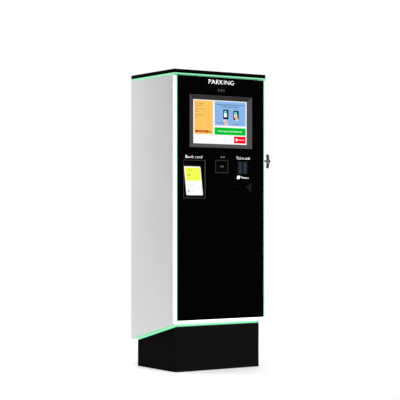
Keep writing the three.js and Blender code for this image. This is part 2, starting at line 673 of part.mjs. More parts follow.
// Two round lamps in front of one light guide.
function indicatorLamps() {
  const radius = INDICATOR_RADIUS - FIT_GAP;
  const guideFront = DOOR_REAR_Y + FIT_GAP - DOOR_FACE_Y;
  const profile = [[0, -0.9], [radius * 0.6, -0.6], [radius, 0.2], [radius, 8.5], [0, 8.5]];
  const { left, right } = INDICATORS;
  const lamps = [left, right].map((x) => new THREE.LatheGeometry(
    profile.map(([r, h]) => new THREE.Vector2(r, h)), 12).translate(x, 0, 0));
  const guide = block([left - radius, right + radius], [guideFront, guideFront + 4], [-radius, radius]);
  return group([0, DOOR_FACE_Y, INDICATOR_Z],
    part('indicator_lamps', join(guide, ...lamps), displayGlass()));
}

function codeScanner() {
  const rim = 3;
  const outer = inset(SCANNER, FIT_GAP);
  const bezelRear = DOOR_FACE_Y + 12;
  const bezel = cut(
    plate(outer, [DOOR_FACE_Y, bezelRear]),
    plate(inset(outer, rim), [DOOR_FACE_Y - CUT_MARGIN, bezelRear + CUT_MARGIN]));
  const windowPlate = plate(inset(outer, rim + FIT_GAP), [DOOR_FACE_Y + 2, DOOR_FACE_Y + 5]);
  const engine = join(
    plate(inset(outer, 7), [DOOR_FACE_Y + 9, DOOR_FACE_Y + 16]),
    plate(inset(outer, 1), [bezelRear + FIT_GAP, bezelRear + 50]));
  return [
    part('scanner_bezel', bezel, blackPlastic()),
    part('scanner_window', windowPlate, darkWindow()),
    part('scanner_engine', engine, blackPlastic())];
}

// ---------- Bill acceptor and cash box ----------

const BILL_SLOT = [102, 192, 1044, 1050];
const BEZEL_DEPTH = 40;
const VALIDATOR = { rect: [92, 202, 930, 1100], depth: 90 };
const CASHBOX = { rect: [94, 200, 900, 1098], depth: 97, wall: 2 };
const VALIDATOR_FRONT_Y = DOOR_FACE_Y + BEZEL_DEPTH + FIT_GAP;
const CASHBOX_FRONT_Y = VALIDATOR_FRONT_Y + VALIDATOR.depth + 1;

// A moulded funnel leads a bill into the slot.
function billBezel() {
  const rim = 4;
  const throat = DOOR_FACE_Y + BEZEL_DEPTH - 4;
  const body = plate(inset(BILL, FIT_GAP), [DOOR_FACE_Y, DOOR_FACE_Y + BEZEL_DEPTH]);
  const funnel = taper(inset(BILL, rim), DOOR_FACE_Y, BILL_SLOT, throat);
  const lead = plate(inset(BILL, rim), [DOOR_FACE_Y - CUT_MARGIN, DOOR_FACE_Y + FIT_GAP]);
  const slot = plate(BILL_SLOT, [throat - CUT_MARGIN, DOOR_FACE_Y + BEZEL_DEPTH + CUT_MARGIN]);
  return part('bill_bezel', cut(body, funnel, lead, slot), greyPlastic());
}

// The validator carries a tray with side rails that the cash box slides along.
function billValidator() {
  const [left, right, bottom] = CASHBOX.rect;
  const rear = VALIDATOR_FRONT_Y + VALIDATOR.depth;
  const trayEnd = CASHBOX_FRONT_Y + CASHBOX.depth - 10;
  const body = plate(VALIDATOR.rect, [VALIDATOR_FRONT_Y, rear]);
  const inlet = plate(BILL_SLOT, [VALIDATOR_FRONT_Y - CUT_MARGIN, VALIDATOR_FRONT_Y + 40]);
  const post = block([left, right], [rear - 20, rear], [bottom - 5, VALIDATOR.rect[2] + 1]);
  const tray = block([left - 4, right + 4], [rear - 20, trayEnd], [bottom - 5, bottom - 0.5]);
  const rails = [[left - 4, left - 1], [right + 1, right + 4]].map((span) =>
    block(span, [rear - 20, trayEnd], [bottom - 5, bottom + 14]));
  return part('bill_validator', cut(join(body, post, tray, ...rails), inlet), blackPlastic());
}

// A box that is open towards the validator, with a pull handle on its back.
function cashbox() {
  const { rect, depth, wall } = CASHBOX;
  const rear = CASHBOX_FRONT_Y + depth;
  const shell = plate(rect, [CASHBOX_FRONT_Y, rear]);
  const hollow = plate(inset(rect, wall), [CASHBOX_FRONT_Y - CUT_MARGIN, rear - wall]);
  const centreX = (rect[0] + rect[1]) / 2;
  const gripZ = [1000, 1010];
  const grip = { half: 32, leg: 6, standOff: 20 };
  const legs = [-grip.half, grip.half - grip.leg].map((x) =>
    block([centreX + x, centreX + x + grip.leg], [rear - 1, rear + grip.standOff], gripZ));
  const bar = block(
    [centreX - grip.half, centreX + grip.half],
    [rear + grip.standOff - grip.leg, rear + grip.standOff], gripZ);
  return part('cashbox', join(cut(shell, hollow), ...legs, bar), zincSteel());
}

// ---------- Equipment inside the cabinet ----------

const PLATE_FRONT_Y = 205;
const PLATE_THICKNESS = 2.5;
const DEVICE_REAR_Y = PLATE_FRONT_Y - FIT_GAP;
const RAIL_Z = 640;
const RAIL_SPAN = [-165, 200];
const RAIL_FRONT_Y = DEVICE_REAR_Y - 7.5;
const BREAKER = { x: -133, halfWidth: 27, frontY: 150, noseY: 135, pivotY: 142 };

// The plate stands off the rear wall on four pillars.
function componentPlate() {
  const rect = [-215, 215, 420, 1290];
  const board = plate(rect, [PLATE_FRONT_Y, PLATE_FRONT_Y + PLATE_THICKNESS]);
  const [left, right, bottom, top] = inset(rect, 20);
  const pillars = [left, right].flatMap((x) => [bottom, top].map((z) =>
    rodY(7, [PLATE_FRONT_Y + PLATE_THICKNESS / 2, INNER_REAR_Y], 10).translate(x, 0, z)));
  return part('component_plate', join(board, ...pillars), zincSteel());
}

function dinRail() {
  const lip = 17.5;
  const channel = 13.5;
  const rear = DEVICE_REAR_Y;
  const front = RAIL_FRONT_Y;
  const section = outline([
    [front, -lip], [front + 1, -lip], [front + 1, -channel + 1], [rear - 1, -channel + 1],
    [rear - 1, channel - 1], [front + 1, channel - 1], [front + 1, lip], [front, lip],
    [front, channel - 2], [rear - 2, channel - 2],
    [rear - 2, 2 - channel], [front, 2 - channel]]);
  const filler = block(RAIL_SPAN, [front + 1, rear], [-channel + 1, channel - 1]);
  const rail = join(prismX(section, RAIL_SPAN), filler);
  return group([0, 0, RAIL_Z], part('din_rail', rail, aluminium()));
}

function circuitBreaker() {
  const { x, halfWidth, frontY, noseY } = BREAKER;
  const rear = RAIL_FRONT_Y - FIT_GAP;
  const profile = outline([
    [rear, -45], [rear, 45], [frontY, 45], [frontY, 23], [noseY, 23],
    [noseY, -23], [frontY, -23], [frontY, -45]]);
  const body = prismX(profile, [-halfWidth, halfWidth]);
  const slot = block([-8, 8], [noseY - CUT_MARGIN, noseY + 14], [-17, 17]);
  return group([x, 0, RAIL_Z], part('circuit_breaker', cut(body, slot), greyPlastic()));
}

// The toggle points up and forward when the breaker is on.
function breakerLever() {
  const hub = rodX(4.5, [-6, 6], 12);
  const arm = block([-6, 6], [-20, 0], [-2.5, 2.5]);
  const assembly = group([BREAKER.x, BREAKER.pivotY, RAIL_Z],
    part('breaker_lever', join(hub, arm), blackPlastic()));
  assembly.rotation.x = -THREE.MathUtils.degToRad(35);
  return assembly;
}

function powerSupply() {
  const rear = RAIL_FRONT_Y - FIT_GAP;
  const body = block([-90, 30], [105, rear], [-45, 70]);
  const terminals = block([-84, 24], [118, rear], [-62, -44]);
  return group([0, 0, RAIL_Z], part('power_supply', join(body, terminals), aluminium()));
}

function terminalBlock() {
  const rear = RAIL_FRONT_Y - FIT_GAP;
  const profile = outline([
    [rear, -28], [rear, 28], [rear - 18, 28], [rear - 18, 14], [rear - 40, 14],
    [rear - 40, -14], [rear - 18, -14], [rear - 18, -28]]);
  return group([0, 0, RAIL_Z], part('terminal_block', prismX(profile, [48, 180]), greyPlastic()));
}

// A fanless computer whose finned cover is its heat sink.
function industrialPc() {
  const fins = 11;
  const pitch = 20;
  const finWidth = 5;
  const finRoot = 172;
  const finTip = 152;
  const left = -150;
  const width = (fins - 1) * pitch + finWidth;
  const points = [[left, DEVICE_REAR_Y], [left, finTip]];
  for (let fin = 0; fin < fins; fin += 1) {
    const start = left + fin * pitch;
    if (fin > 0) {
      points.push([start, finRoot], [start, finTip]);
    }
    points.push([start + finWidth, finTip]);
    if (fin < fins - 1) {
      points.push([start + finWidth, finRoot]);
    }
  }
  points.push([left + width, DEVICE_REAR_Y]);
  return part('industrial_pc', prismZ(outline(points), [860, 1040]), aluminium());
}

function networkRouter() {
  const front = DEVICE_REAR_Y - 32;
  const rect = [-150, -30, 1120, 1240];
  const body = join(
    plate(rect, [front + 6, DEVICE_REAR_Y]),
    taper(inset(rect, 6), front, rect, front + 6.1));
  return part('network_router', body, blackPlastic());
}

function cableDuct() {
  const rect = [-205, -168, 440, 1270];
  const depths = [150, DEVICE_REAR_Y];
  const duct = cut(
    plate(rect, depths),
    block([rect[0] + SHEET, rect[1] - SHEET], [depths[0] + SHEET, depths[1] - SHEET],
      [rect[2] - CUT_MARGIN, rect[3] + CUT_MARGIN]));
  return part('cable_duct', duct, greyPlastic());
}

// ---------- Fan ----------

const FAN_REAR_Y = INNER_REAR_Y;
const FAN_FRONT_Y = FAN_REAR_Y - FAN.depth;
const MOTOR_RADIUS = 20;

function fanHousing() {
  const side = FAN.halfSize;
  const bore = rodY(FAN.boreRadius, [FAN_FRONT_Y - CUT_MARGIN, FAN_REAR_Y + CUT_MARGIN], 28);
  const housing = cut(plate([-side, side, -side, side], [FAN_FRONT_Y, FAN_REAR_Y]), bore);
  const strutDepth = [FAN_REAR_Y - 4, FAN_REAR_Y];
  const motor = rodY(MOTOR_RADIUS, strutDepth, 16);
  const struts = [
    plate([-side + 1, side - 1, -2.5, 2.5], strutDepth),
    plate([-2.5, 2.5, -side + 1, side - 1], strutDepth)];
  return group([0, 0, FAN.z],
    part('fan_housing', join(housing, motor, ...struts), blackPlastic()));
}

function fanRotor() {
  const blades = 7;
  const bladeTip = 53;
  const centreY = (FAN_FRONT_Y + FAN_REAR_Y) / 2 - 2;
  const hub = rodY(MOTOR_RADIUS, [FAN_FRONT_Y + 2, FAN_REAR_Y - 6], 16);
  const vanes = Array.from({ length: blades }, (_, index) =>
    new THREE.BoxGeometry(bladeTip - MOTOR_RADIUS + 3, 2, 22)
      .rotateX(Math.PI / 5)
      .translate((bladeTip + MOTOR_RADIUS - 3) / 2, centreY, 0)
      .rotateY((index * 2 * Math.PI) / blades));
  return group([0, 0, FAN.z], part('fan_rotor', join(hub, ...vanes), blackPlastic()));
}

// ---------- Door switch ----------

function doorSwitch() {
  const { x, z, plungerRadius } = DOOR_SWITCH;
  const bodyFront = FRAME.flangeY + SHEET + FIT_GAP;
  const body = block([-8, 8], [bodyFront, bodyFront + 30], [-14, 14]);
  const bore = rodY(plungerRadius + 0.4, [bodyFront - CUT_MARGIN, bodyFront + 22], 12);
  const plunger = rodY(plungerRadius, [DOOR_REAR_Y + FIT_GAP, bodyFront + 15], 12);
  return group([x, 0, z],
    part('door_switch_body', cut(body, bore), blackPlastic()),
    part('door_switch_plunger', plunger, chrome()));
}

// ---------- Assembly ----------

const payStation = new THREE.Group();
payStation.add(
  basePlate(), plinthShell(), baseLedStrip(),
  floorPan(), cableGland(), sidePanel('left'), sidePanel('right'), rearPanel(), roofPlate(),
  topLedStrip(), topCap(),
  doorPost('left'), doorPost('right'), doorCrossbar('door_sill', SILL),
  doorCrossbar('door_header', HEADER), doorSeal(),
  hingeBracket('upper'), hingeBracket('lower'), handleEscutcheon(), doorSwitch(),
  componentPlate(), dinRail(), circuitBreaker(), breakerLever(), powerSupply(), terminalBlock(),
  industrialPc(), networkRouter(), cableDuct(), fanHousing(), fanRotor(),
  tHandle(), lockCam(), lockPlug(),
  group([0, 0, 0],
    doorPanel(), doorTrim(), frontGlass(), sideLed('left'), sideLed('right'),
    hingeLeaf('upper'), hingeLeaf('lower'), lockKeeper(),
    screenBezel(), touchDisplay(), monitorChassis(), cameraWindow(), cameraModule(),
    cardReaderRecess(), cardTerminal(), ...contactlessReader(),
    indicatorLamps(), ...codeScanner(),
    billBezel(), billValidator(), cashbox()));

export default payStation;
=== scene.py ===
"""Looks for the parking pay station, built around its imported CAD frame. Metres, +Z up."""

import json
import math

import bmesh
import bpy
from mathutils import Matrix, Vector

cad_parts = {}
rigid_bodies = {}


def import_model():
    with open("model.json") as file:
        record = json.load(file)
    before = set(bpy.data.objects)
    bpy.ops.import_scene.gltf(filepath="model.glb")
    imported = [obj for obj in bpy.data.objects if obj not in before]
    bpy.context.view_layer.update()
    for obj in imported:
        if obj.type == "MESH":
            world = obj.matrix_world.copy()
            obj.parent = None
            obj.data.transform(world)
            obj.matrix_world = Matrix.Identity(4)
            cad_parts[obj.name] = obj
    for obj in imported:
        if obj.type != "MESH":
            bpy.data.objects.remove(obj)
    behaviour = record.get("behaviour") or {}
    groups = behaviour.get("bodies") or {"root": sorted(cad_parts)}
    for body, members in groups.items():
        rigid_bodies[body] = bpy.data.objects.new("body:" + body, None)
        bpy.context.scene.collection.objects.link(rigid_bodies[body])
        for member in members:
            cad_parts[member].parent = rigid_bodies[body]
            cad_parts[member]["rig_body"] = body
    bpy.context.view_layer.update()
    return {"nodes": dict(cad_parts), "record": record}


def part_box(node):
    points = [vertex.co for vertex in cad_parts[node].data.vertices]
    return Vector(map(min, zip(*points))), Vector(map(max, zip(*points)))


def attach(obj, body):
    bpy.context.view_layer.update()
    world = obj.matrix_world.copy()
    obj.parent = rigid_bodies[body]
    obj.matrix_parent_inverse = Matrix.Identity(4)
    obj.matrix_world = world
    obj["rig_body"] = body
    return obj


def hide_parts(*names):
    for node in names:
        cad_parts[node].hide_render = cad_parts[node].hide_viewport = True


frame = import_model()
NODES = frame["nodes"]
SLOT_OF = {part["node"]: part["material_slot"] for part in frame["record"]["subparts"]}
MM = 0.001

# ---------------------------------------------------------------- driving values

CAMERA_PLACE = (-4.3925, -6.6581, 0.8704)
CAMERA_TURN = math.radians(-33.49)
CAMERA_LENS = 122.76
CAMERA_SHIFT_Y = 0.043
FLOOR_HALF = 1.7
SUN_POWER = 2.0
SUN_ANGLE = math.radians(70)
ROOM_LIGHT = 0.27
ROOM_GLOSS = 0.45
FLAG_DIRECTION = (0.55, -0.83, 0.0)
FLAG_RIM, FLAG_CORE = 0.55, 0.95
AREA_LIGHTS = (
    # name, place, target, size, power, spread in degrees
    ("key_front", (0.1, -6.5, 1.2), (0, 0, 0.95), (1.4, 2.0), 80, 50),
    ("fill_near_left", (-1.35, 1.2, 1.6), (-0.3, 0.1, 1.45), (0.4, 1.2), 15, 180),
    ("fill_rear", (3.5, 5.5, 3.0), (0, 0, 0.9), (3.0, 3.0), 120, 180))

FACE_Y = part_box("front_glass")[0].y
PRINT_THICKNESS = 0.12 * MM
LAYER_GAP = 0.1 * MM
DISPLAY_MARGIN = 11 * MM
TERMINAL_MARGIN = 1.2 * MM
TERMINAL_TILT = math.radians(9.4)
RECESS_LIP = 9 * MM
HANDLE_COLLAR, HANDLE_BOSS, HANDLE_RING = 21 * MM, 30.4 * MM, 34.5 * MM
HANDLE_NECK = 11.3 * MM
TOP_DARK_MARGIN, BASE_DARK_MARGIN, SIDE_DARK_MARGIN = 3 * MM, 1.8 * MM, 2 * MM
CREASE = math.radians(35)
FINE_CREASE = math.radians(20)
LABEL_WEIGHT, SMALL_TYPE_WEIGHT = -0.018, 0.012

WHITE = (0.745, 0.75, 0.752)
LED_MINT = (0.28, 0.88, 0.47)
# The next three values are painted light: the strip's green glow, painted onto the cabinet's underside.
PAINTED_GLOW_EMISSION = (0.10, 0.80, 0.22)
PAINTED_GLOW_REACH = 32 * MM
PAINTED_GLOW_GREEN = (0.2, 0.62, 0.3)

FRONT, REAR, LEFT, UP = (0, -1, 0), (0, 1, 0), (-1, 0, 0), (0, 0, 1)


# ---------------------------------------------------------------- material helpers

class Shader:
    """A material under construction: one Principled shader with procedural inputs."""

    def __init__(self, name, color, roughness, metallic=0.0):
        self.material = bpy.data.materials.new(name)
        self.material.use_nodes = True
        self.tree = self.material.node_tree
        self.bsdf = self.tree.nodes["Principled BSDF"]
        self.color = color
        self.roughness = roughness
        self.set("Base Color", (*color, 1.0))
        self.set("Roughness", roughness)
        self.set("Metallic", metallic)
        self.place = self.tree.nodes.new("ShaderNodeTexCoord").outputs["Object"]
        self.height = None

    def set(self, socket, value):
        self.bsdf.inputs[socket].default_value = value
        return self

    def link(self, source, socket):
        self.tree.links.new(source, self.bsdf.inputs[socket])
        return self

    def node(self, kind, links, **settings):
        """Adds a node, sets its properties and input values, and links its inputs."""
        made = self.tree.nodes.new(kind)
        for key, value in settings.items():
            if hasattr(made, key):
                setattr(made, key, value)
            else:
                made.inputs[key.title()].default_value = value
        for socket, source in links.items():
            self.tree.links.new(source, made.inputs[socket])
        return made

    def calc(self, operation, first, second=None):
        """A sum on a socket and, if there is one, a second socket or number."""
        made = self.node("ShaderNodeMath", {0: first}, operation=operation)
        if isinstance(second, float):
            made.inputs[1].default_value = second
        elif second is not None:
            self.tree.links.new(second, made.inputs[1])
        return made.outputs[0]

    def axes(self):
        return self.node("ShaderNodeSeparateXYZ", {"Vector": self.place}).outputs

    def stretched(self, scale):
        """Object coordinates scaled by a different amount on each axis."""
        mapping = self.node("ShaderNodeMapping", {"Vector": self.place})
        mapping.inputs["Scale"].default_value = scale
        return mapping.outputs["Vector"]

    def noise(self, scale, detail=3.0, vector=None):
        made = self.node("ShaderNodeTexNoise", {"Vector": vector or self.place},
                         scale=scale, detail=detail)
        return made.outputs["Fac"]

    def remap(self, source, low, high, from_low=0.3, from_high=0.7):
        made = self.node("ShaderNodeMapRange", {"Value": source})
        for socket, value in (("From Min", from_low), ("From Max", from_high),
                              ("To Min", low), ("To Max", high)):
            made.inputs[socket].default_value = value
        return made.outputs["Result"]

    def mix(self, factor, first, second):
        """A blend of two colours, each a colour tuple or a socket."""
        made = self.node("ShaderNodeMix", {0: factor}, data_type="RGBA")
        for index, source in ((6, first), (7, second)):
            if isinstance(source, tuple):
                made.inputs[index].default_value = (*source, 1.0)
            else:
                self.tree.links.new(source, made.inputs[index])
        return made.outputs[2]

    def vary_color(self, factor, dark, light):
        """Lets the base colour drift between a darker and a lighter tone."""
        tones = [tuple(min(1.0, c * k) for c in self.color) for k in (dark, light)]
        return self.link(self.mix(factor, *tones), "Base Color")

    def vary_roughness(self, factor, spread):
        value = self.remap(factor, self.roughness - spread, self.roughness + spread)
        return self.link(value, "Roughness")

    def bump(self, height, strength, distance):
        """Adds one layer of relief; layers stack."""
        made = self.node("ShaderNodeBump", {"Height": height}, strength=strength, distance=distance)
        if self.height is not None:
            self.tree.links.new(self.height, made.inputs["Normal"])
        self.height = made.outputs["Normal"]
        return self.link(self.height, "Normal")

    def dull(self, specular):
        """Lowers the mirror part of the shader, at a glancing angle too."""
        return self.set("Specular IOR Level", specular).set("IOR", 1.15)


def powder_coat(name, color, roughness, grain=0.12):
    """Sprayed and baked paint: fine orange peel, with a slow drift in tone and gloss."""
    shade = Shader(name, color, roughness)
    slow = shade.noise(3.0)
    shade.vary_color(slow, 0.965, 1.02).vary_roughness(slow, 0.04)
    shade.bump(shade.noise(900, 2.0), grain, 0.05 * MM)
    return shade.bump(shade.noise(160, 1.0), grain * 0.5, 0.04 * MM)


def zinc_sheet(name, color):
    """Zinc plated sheet: cloudy crystals under fine rolling lines."""
    shade = Shader(name, color, 0.4, metallic=0.9)
    crystals = shade.node("ShaderNodeTexVoronoi", {"Vector": shade.place}, scale=85.0)
    tone = shade.mix(shade.noise(12), (0.8, 0.8, 0.8), (1.0, 1.0, 1.0))
    spangle = shade.mix(crystals.outputs["Color"], tuple(c * 0.9 for c in color), color)
    multiply = shade.node("ShaderNodeMix", {6: spangle, 7: tone}, data_type="RGBA")
    multiply.blend_type = "MULTIPLY"
    multiply.inputs[0].default_value = 1.0
    shade.link(multiply.outputs[2], "Base Color")
    lines = shade.noise(40, 2.0, shade.stretched((6, 6, 60)))
    return shade.vary_roughness(lines, 0.07).bump(lines, 0.06, 0.05 * MM)


def brushed_metal(name, color, roughness, along=(1, 40, 40)):
    """Metal with hair-fine scratches that run along one axis."""
    shade = Shader(name, color, roughness, metallic=1.0)
    hairs = shade.noise(60, 3.0, shade.stretched(along))
    shade.vary_color(hairs, 0.86, 1.04).vary_roughness(hairs, 0.08)
    return shade.bump(hairs, 0.1, 0.03 * MM)


def moulded_plastic(name, color, roughness, grain=0.25):
    """Injection moulded plastic with a spark-eroded texture and handling marks."""
    shade = Shader(name, color, roughness).set("IOR", 1.5)
    slow = shade.noise(9)
    shade.vary_color(slow, 0.86, 1.1).vary_roughness(slow, 0.05)
    return shade.bump(shade.noise(1500, 2.0), grain, 0.04 * MM)


def gloss_black(name):
    """Back-painted acrylic: deep black under a clear face with faint wiping marks."""
    shade = Shader(name, (0.0004, 0.0004, 0.0005), 0.09).dull(0.02)
    wipes = shade.noise(5, 4.0, shade.stretched((1.0, 1.0, 0.35)))
    return shade.vary_roughness(wipes, 0.035).bump(shade.noise(2.2, 1.0), 0.02, 0.2 * MM)


def light_strip(name):
    """An opal diffuser lit from behind, a little brighter over each light source."""
    shade = Shader(name, (0.02, 0.035, 0.028), 0.35).dull(0.1)
    over_source = tuple(min(1.0, c * 1.08) for c in LED_MINT)
    shade.link(shade.mix(shade.noise(45, 0.0), LED_MINT, over_source), "Emission Color")
    return shade.set("Emission Strength", 1.0)


def underside_coat_with_painted_glow():
    """White paint under the cabinet, with painted light beside the light strip: a green tint and a green
    emission that fade with distance from it.
    """
    shade = powder_coat("white_coat_underside_painted_glow", WHITE, 0.5)
    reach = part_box("base_led_strip")[1]
    axes = shade.axes()
    furthest = shade.calc("MAXIMUM", *(
        shade.calc("SUBTRACT", shade.calc("ABSOLUTE", axes[axis]), edge)
        for axis, edge in (("X", reach.x), ("Y", reach.y))))
    painted_glow = shade.remap(furthest, 1.0, 0.15, 0.0, PAINTED_GLOW_REACH)
    shade.link(shade.mix(painted_glow, tuple(0.8 * c for c in WHITE), PAINTED_GLOW_GREEN), "Base Color")
    shade.link(shade.remap(furthest, 0.55, 0.0, 0.0, PAINTED_GLOW_REACH), "Emission Strength")
    return shade.set("Emission Color", (*PAINTED_GLOW_EMISSION, 1.0))


def lit_print(name, color, strength=1.0):
    """A patch of a lit display: the picture colour under a faint fall-off of the backlight."""
    shade = Shader(name, tuple(c * 0.03 for c in color), 0.25).dull(0.1)
    shade.link(shade.mix(shade.noise(6, 0.0), tuple(c * 0.97 for c in color), color),
               "Emission Color")
    return shade.set("Emission Strength", strength)


def ink(name, color, roughness=0.45):
    """Screen printed ink with a slightly uneven film."""
    shade = Shader(name, color, roughness)
    film = shade.noise(300, 2.0)
    return shade.vary_color(film, 0.94, 1.0).bump(film, 0.15, 0.03 * MM)


def foam_rubber(name):
    shade = Shader(name, (0.012, 0.012, 0.013), 0.9)
    cells = shade.noise(1200, 2.0)
    return shade.vary_color(shade.noise(30), 0.7, 1.3).bump(cells, 0.6, 0.15 * MM)


def smoked_window(name):
    """A dark window whose base colour is lighter and bluish in two upright bands towards its sides:
    painted light, standing for light behind it.
    """
    bar_offset, bar_reach = 0.27, 0.16
    shade = Shader(name, (0.004, 0.006, 0.009), 0.1)
    low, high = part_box("scanner_window")
    width = high.x - low.x
    from_middle = shade.calc("ABSOLUTE", shade.calc("SUBTRACT", shade.axes()["X"], (low.x + high.x) / 2))
    from_bar = shade.calc("ABSOLUTE", shade.calc("SUBTRACT", from_middle, width * bar_offset))
    painted_light_bands = shade.remap(from_bar, 1.0, 0.0, 0.0, width * bar_reach)
    streaks = shade.noise(60, 1.0, shade.stretched((1.0, 1.0, 0.25)))
    # The lighter bluish tone of the bands is painted light in the base colour, not emission.
    lit = shade.mix(streaks, (0.006, 0.010, 0.015), (0.022, 0.034, 0.048))
    return shade.link(shade.mix(painted_light_bands, (0.003, 0.005, 0.008), lit), "Base Color").dull(0.2)


def make_materials():
    """The finished materials, keyed by the record's slots, then by what the details need."""
    plastic = moulded_plastic
    shades = {
        "white_coat": powder_coat("white_coat", WHITE, 0.5),
        "black_coat": powder_coat("black_coat", (0.0024, 0.0024, 0.0026), 0.42, 0.2).dull(0.06),
        "handle_coat": powder_coat("handle_coat", (0.022, 0.022, 0.024), 0.3, 0.08),
        "zinc_steel": zinc_sheet("zinc_steel", (0.46, 0.47, 0.48)),
        "bare_aluminium": brushed_metal("bare_aluminium", (0.62, 0.63, 0.64), 0.34),
        "black_aluminium": plastic("black_aluminium", (0.02, 0.02, 0.022), 0.42, 0.1),
        "chrome_metal": brushed_metal("chrome_metal", (0.78, 0.79, 0.8), 0.14, (1, 1, 1)),
        "led_diffuser": light_strip("led_diffuser"),
        "black_gloss": gloss_black("black_gloss"),
        "grey_plastic": plastic("grey_plastic", (0.022, 0.0225, 0.024), 0.5),
        "light_grey_plastic": plastic("light_grey_plastic", (0.4, 0.41, 0.41), 0.5),
        "black_plastic": plastic("black_plastic", (0.004, 0.004, 0.0044), 0.45).dull(0.2),
        "dark_window": smoked_window("dark_window"),
        "display_glass": lit_print("display_glass", (1.0, 1.0, 1.0)),
        "lamp_lens": lit_print("lamp_lens", (0.62, 0.72, 0.95), 0.6).set("Coat Weight", 0.6),
        "seal_rubber": foam_rubber("seal_rubber"),

        "primer": powder_coat("white_coat_primer", (0.36, 0.37, 0.38), 0.55),
        "underside": underside_coat_with_painted_glow(),
        # The next five are lighter and darker copies of the grey and black plastics. dress_nodes lays
        # them on faces by the way each face is turned: painted highlight and painted shade. The
        # near-black one also colours small dark parts among the fittings, and slots and holes drawn as
        # dark patches, which are painted shade too.
        "lip_painted_highlight": plastic("black_plastic_lip_painted_highlight", (0.05, 0.05, 0.052), 0.4),
        "shade": plastic("grey_plastic_shade", (0.010, 0.010, 0.009), 0.55),
        "dim_painted_highlight": plastic("grey_plastic_dim_painted_highlight", (0.0065, 0.0065, 0.006), 0.5).dull(0.3),
        "light": plastic("grey_plastic_light", (0.03, 0.03, 0.031), 0.5),
        "deep": plastic("black_plastic_deep", (0.0007, 0.0007, 0.0008), 0.5).dull(0.03),
        "steel": brushed_metal("screw_steel", (0.6, 0.6, 0.61), 0.28, (1, 1, 1)),
        "brass": brushed_metal("brass", (0.62, 0.43, 0.16), 0.3),
        "board": ink("circuit_board", (0.01, 0.12, 0.045), 0.35),
        "mat": foam_rubber("filter_mat"),
        "print": ink("label_white", (0.86, 0.87, 0.88)),
        "mark": ink("label_grey", (0.12, 0.12, 0.125)),
        "faint": ink("camera_grey", (0.022, 0.022, 0.024)),
        "paper": ink("label_paper", (0.66, 0.66, 0.64)),
        "type": ink("label_black", (0.012, 0.012, 0.012)),
        "signal": lit_print("signal_green", (0.1, 0.85, 0.2)),
        "amber": lit_print("signal_amber", (0.95, 0.45, 0.05)),
        "blue": plastic("blue_cover", (0.02, 0.07, 0.2), 0.5),
        "earth": plastic("earth_green", (0.08, 0.3, 0.05), 0.5),
    }
    board = shades["board"]
    board.bump(board.noise(220, 0.0), 0.2, 0.1 * MM)
    return {key: shade.material for key, shade in shades.items()}


MATERIALS = make_materials()


# ---------------------------------------------------------------- mesh helpers

def add_piece(name, shape, body, slot, materials):
    """Turns a bmesh into a piece that rides on a body."""
    mesh = bpy.data.meshes.new(name)
    bmesh.ops.recalc_face_normals(shape, faces=shape.faces)
    shape.to_mesh(mesh)
    shape.free()
    for material in materials:
        mesh.materials.append(material)
    piece = bpy.data.objects.new(name, mesh)
    bpy.context.scene.collection.objects.link(piece)
    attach(piece, body)
    return piece


def shade_smooth(piece, crease):
    piece.data.polygons.foreach_set("use_smooth", [True] * len(piece.data.polygons))
    piece.data.set_sharp_from_angle(angle=crease)


def body_of(node):
    return NODES[node]["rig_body"]


def refine(node, radius, tones=(), cuts=()):
    """Stands a copy of a CAD node with rounded edges in the node's place. radius is in mm.

    tones is a list of (material key, test) pairs: a face that passes the test takes the material.
    cuts is a list of (axis, place) planes that divide faces where one tone ends.
    """
    shape = bmesh.new()
    shape.from_mesh(NODES[node].data)
    bmesh.ops.remove_doubles(shape, verts=shape.verts, dist=0.02 * MM)
    bmesh.ops.dissolve_limit(
        shape, angle_limit=math.radians(1), verts=shape.verts, edges=shape.edges)
    for axis, place in cuts:
        point, normal = Vector(), Vector()
        point[axis], normal[axis] = place, 1
        everything = shape.verts[:] + shape.edges[:] + shape.faces[:]
        bmesh.ops.bisect_plane(shape, geom=everything, plane_co=point, plane_no=normal)
    for face in shape.faces:
        passed = (index for index, (_, test) in enumerate(tones, 1) if test(face))
        face.material_index = next(passed, 0)
    slot = SLOT_OF[node]
    materials = [MATERIALS[key] for key in (slot, *(key for key, _ in tones))]
    piece = add_piece(f"{node}_finish", shape, body_of(node), slot, materials)
    bevel = piece.modifiers.new("edges", "BEVEL")
    bevel.width = radius * MM
    bevel.segments = 2
    bevel.limit_method = "ANGLE"
    bevel.angle_limit = CREASE
    bevel.harden_normals = True
    shade_smooth(piece, CREASE)
    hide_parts(node)


def rounded_outline(left, right, bottom, top, radius):
    """The corner-rounded outline of a rectangle, anticlockwise."""
    steps = 5
    centres = [(right - radius, top - radius), (left + radius, top - radius),
               (left + radius, bottom + radius), (right - radius, bottom + radius)]
    points = []
    for quarter, (x, y) in enumerate(centres):
        for step in range(steps + 1):
            angle = math.pi / 2 * (quarter + step / steps)
            points.append((x + radius * math.cos(angle), y + radius * math.sin(angle)))
    return points


class Draft:
    """A piece under construction. Its materials are given by their keys."""

    def __init__(self, tones=None):
        self.shape = bmesh.new()
        self.tones = tones or MATERIALS
        self.materials = []

    def paint(self, faces, key):
        material = self.tones[key]
        if material not in self.materials:
            self.materials.append(material)
        for face in faces:
            face.material_index = self.materials.index(material)

    def finish(self, name, body, slot):
        return add_piece(name, self.shape, body, slot, self.materials)


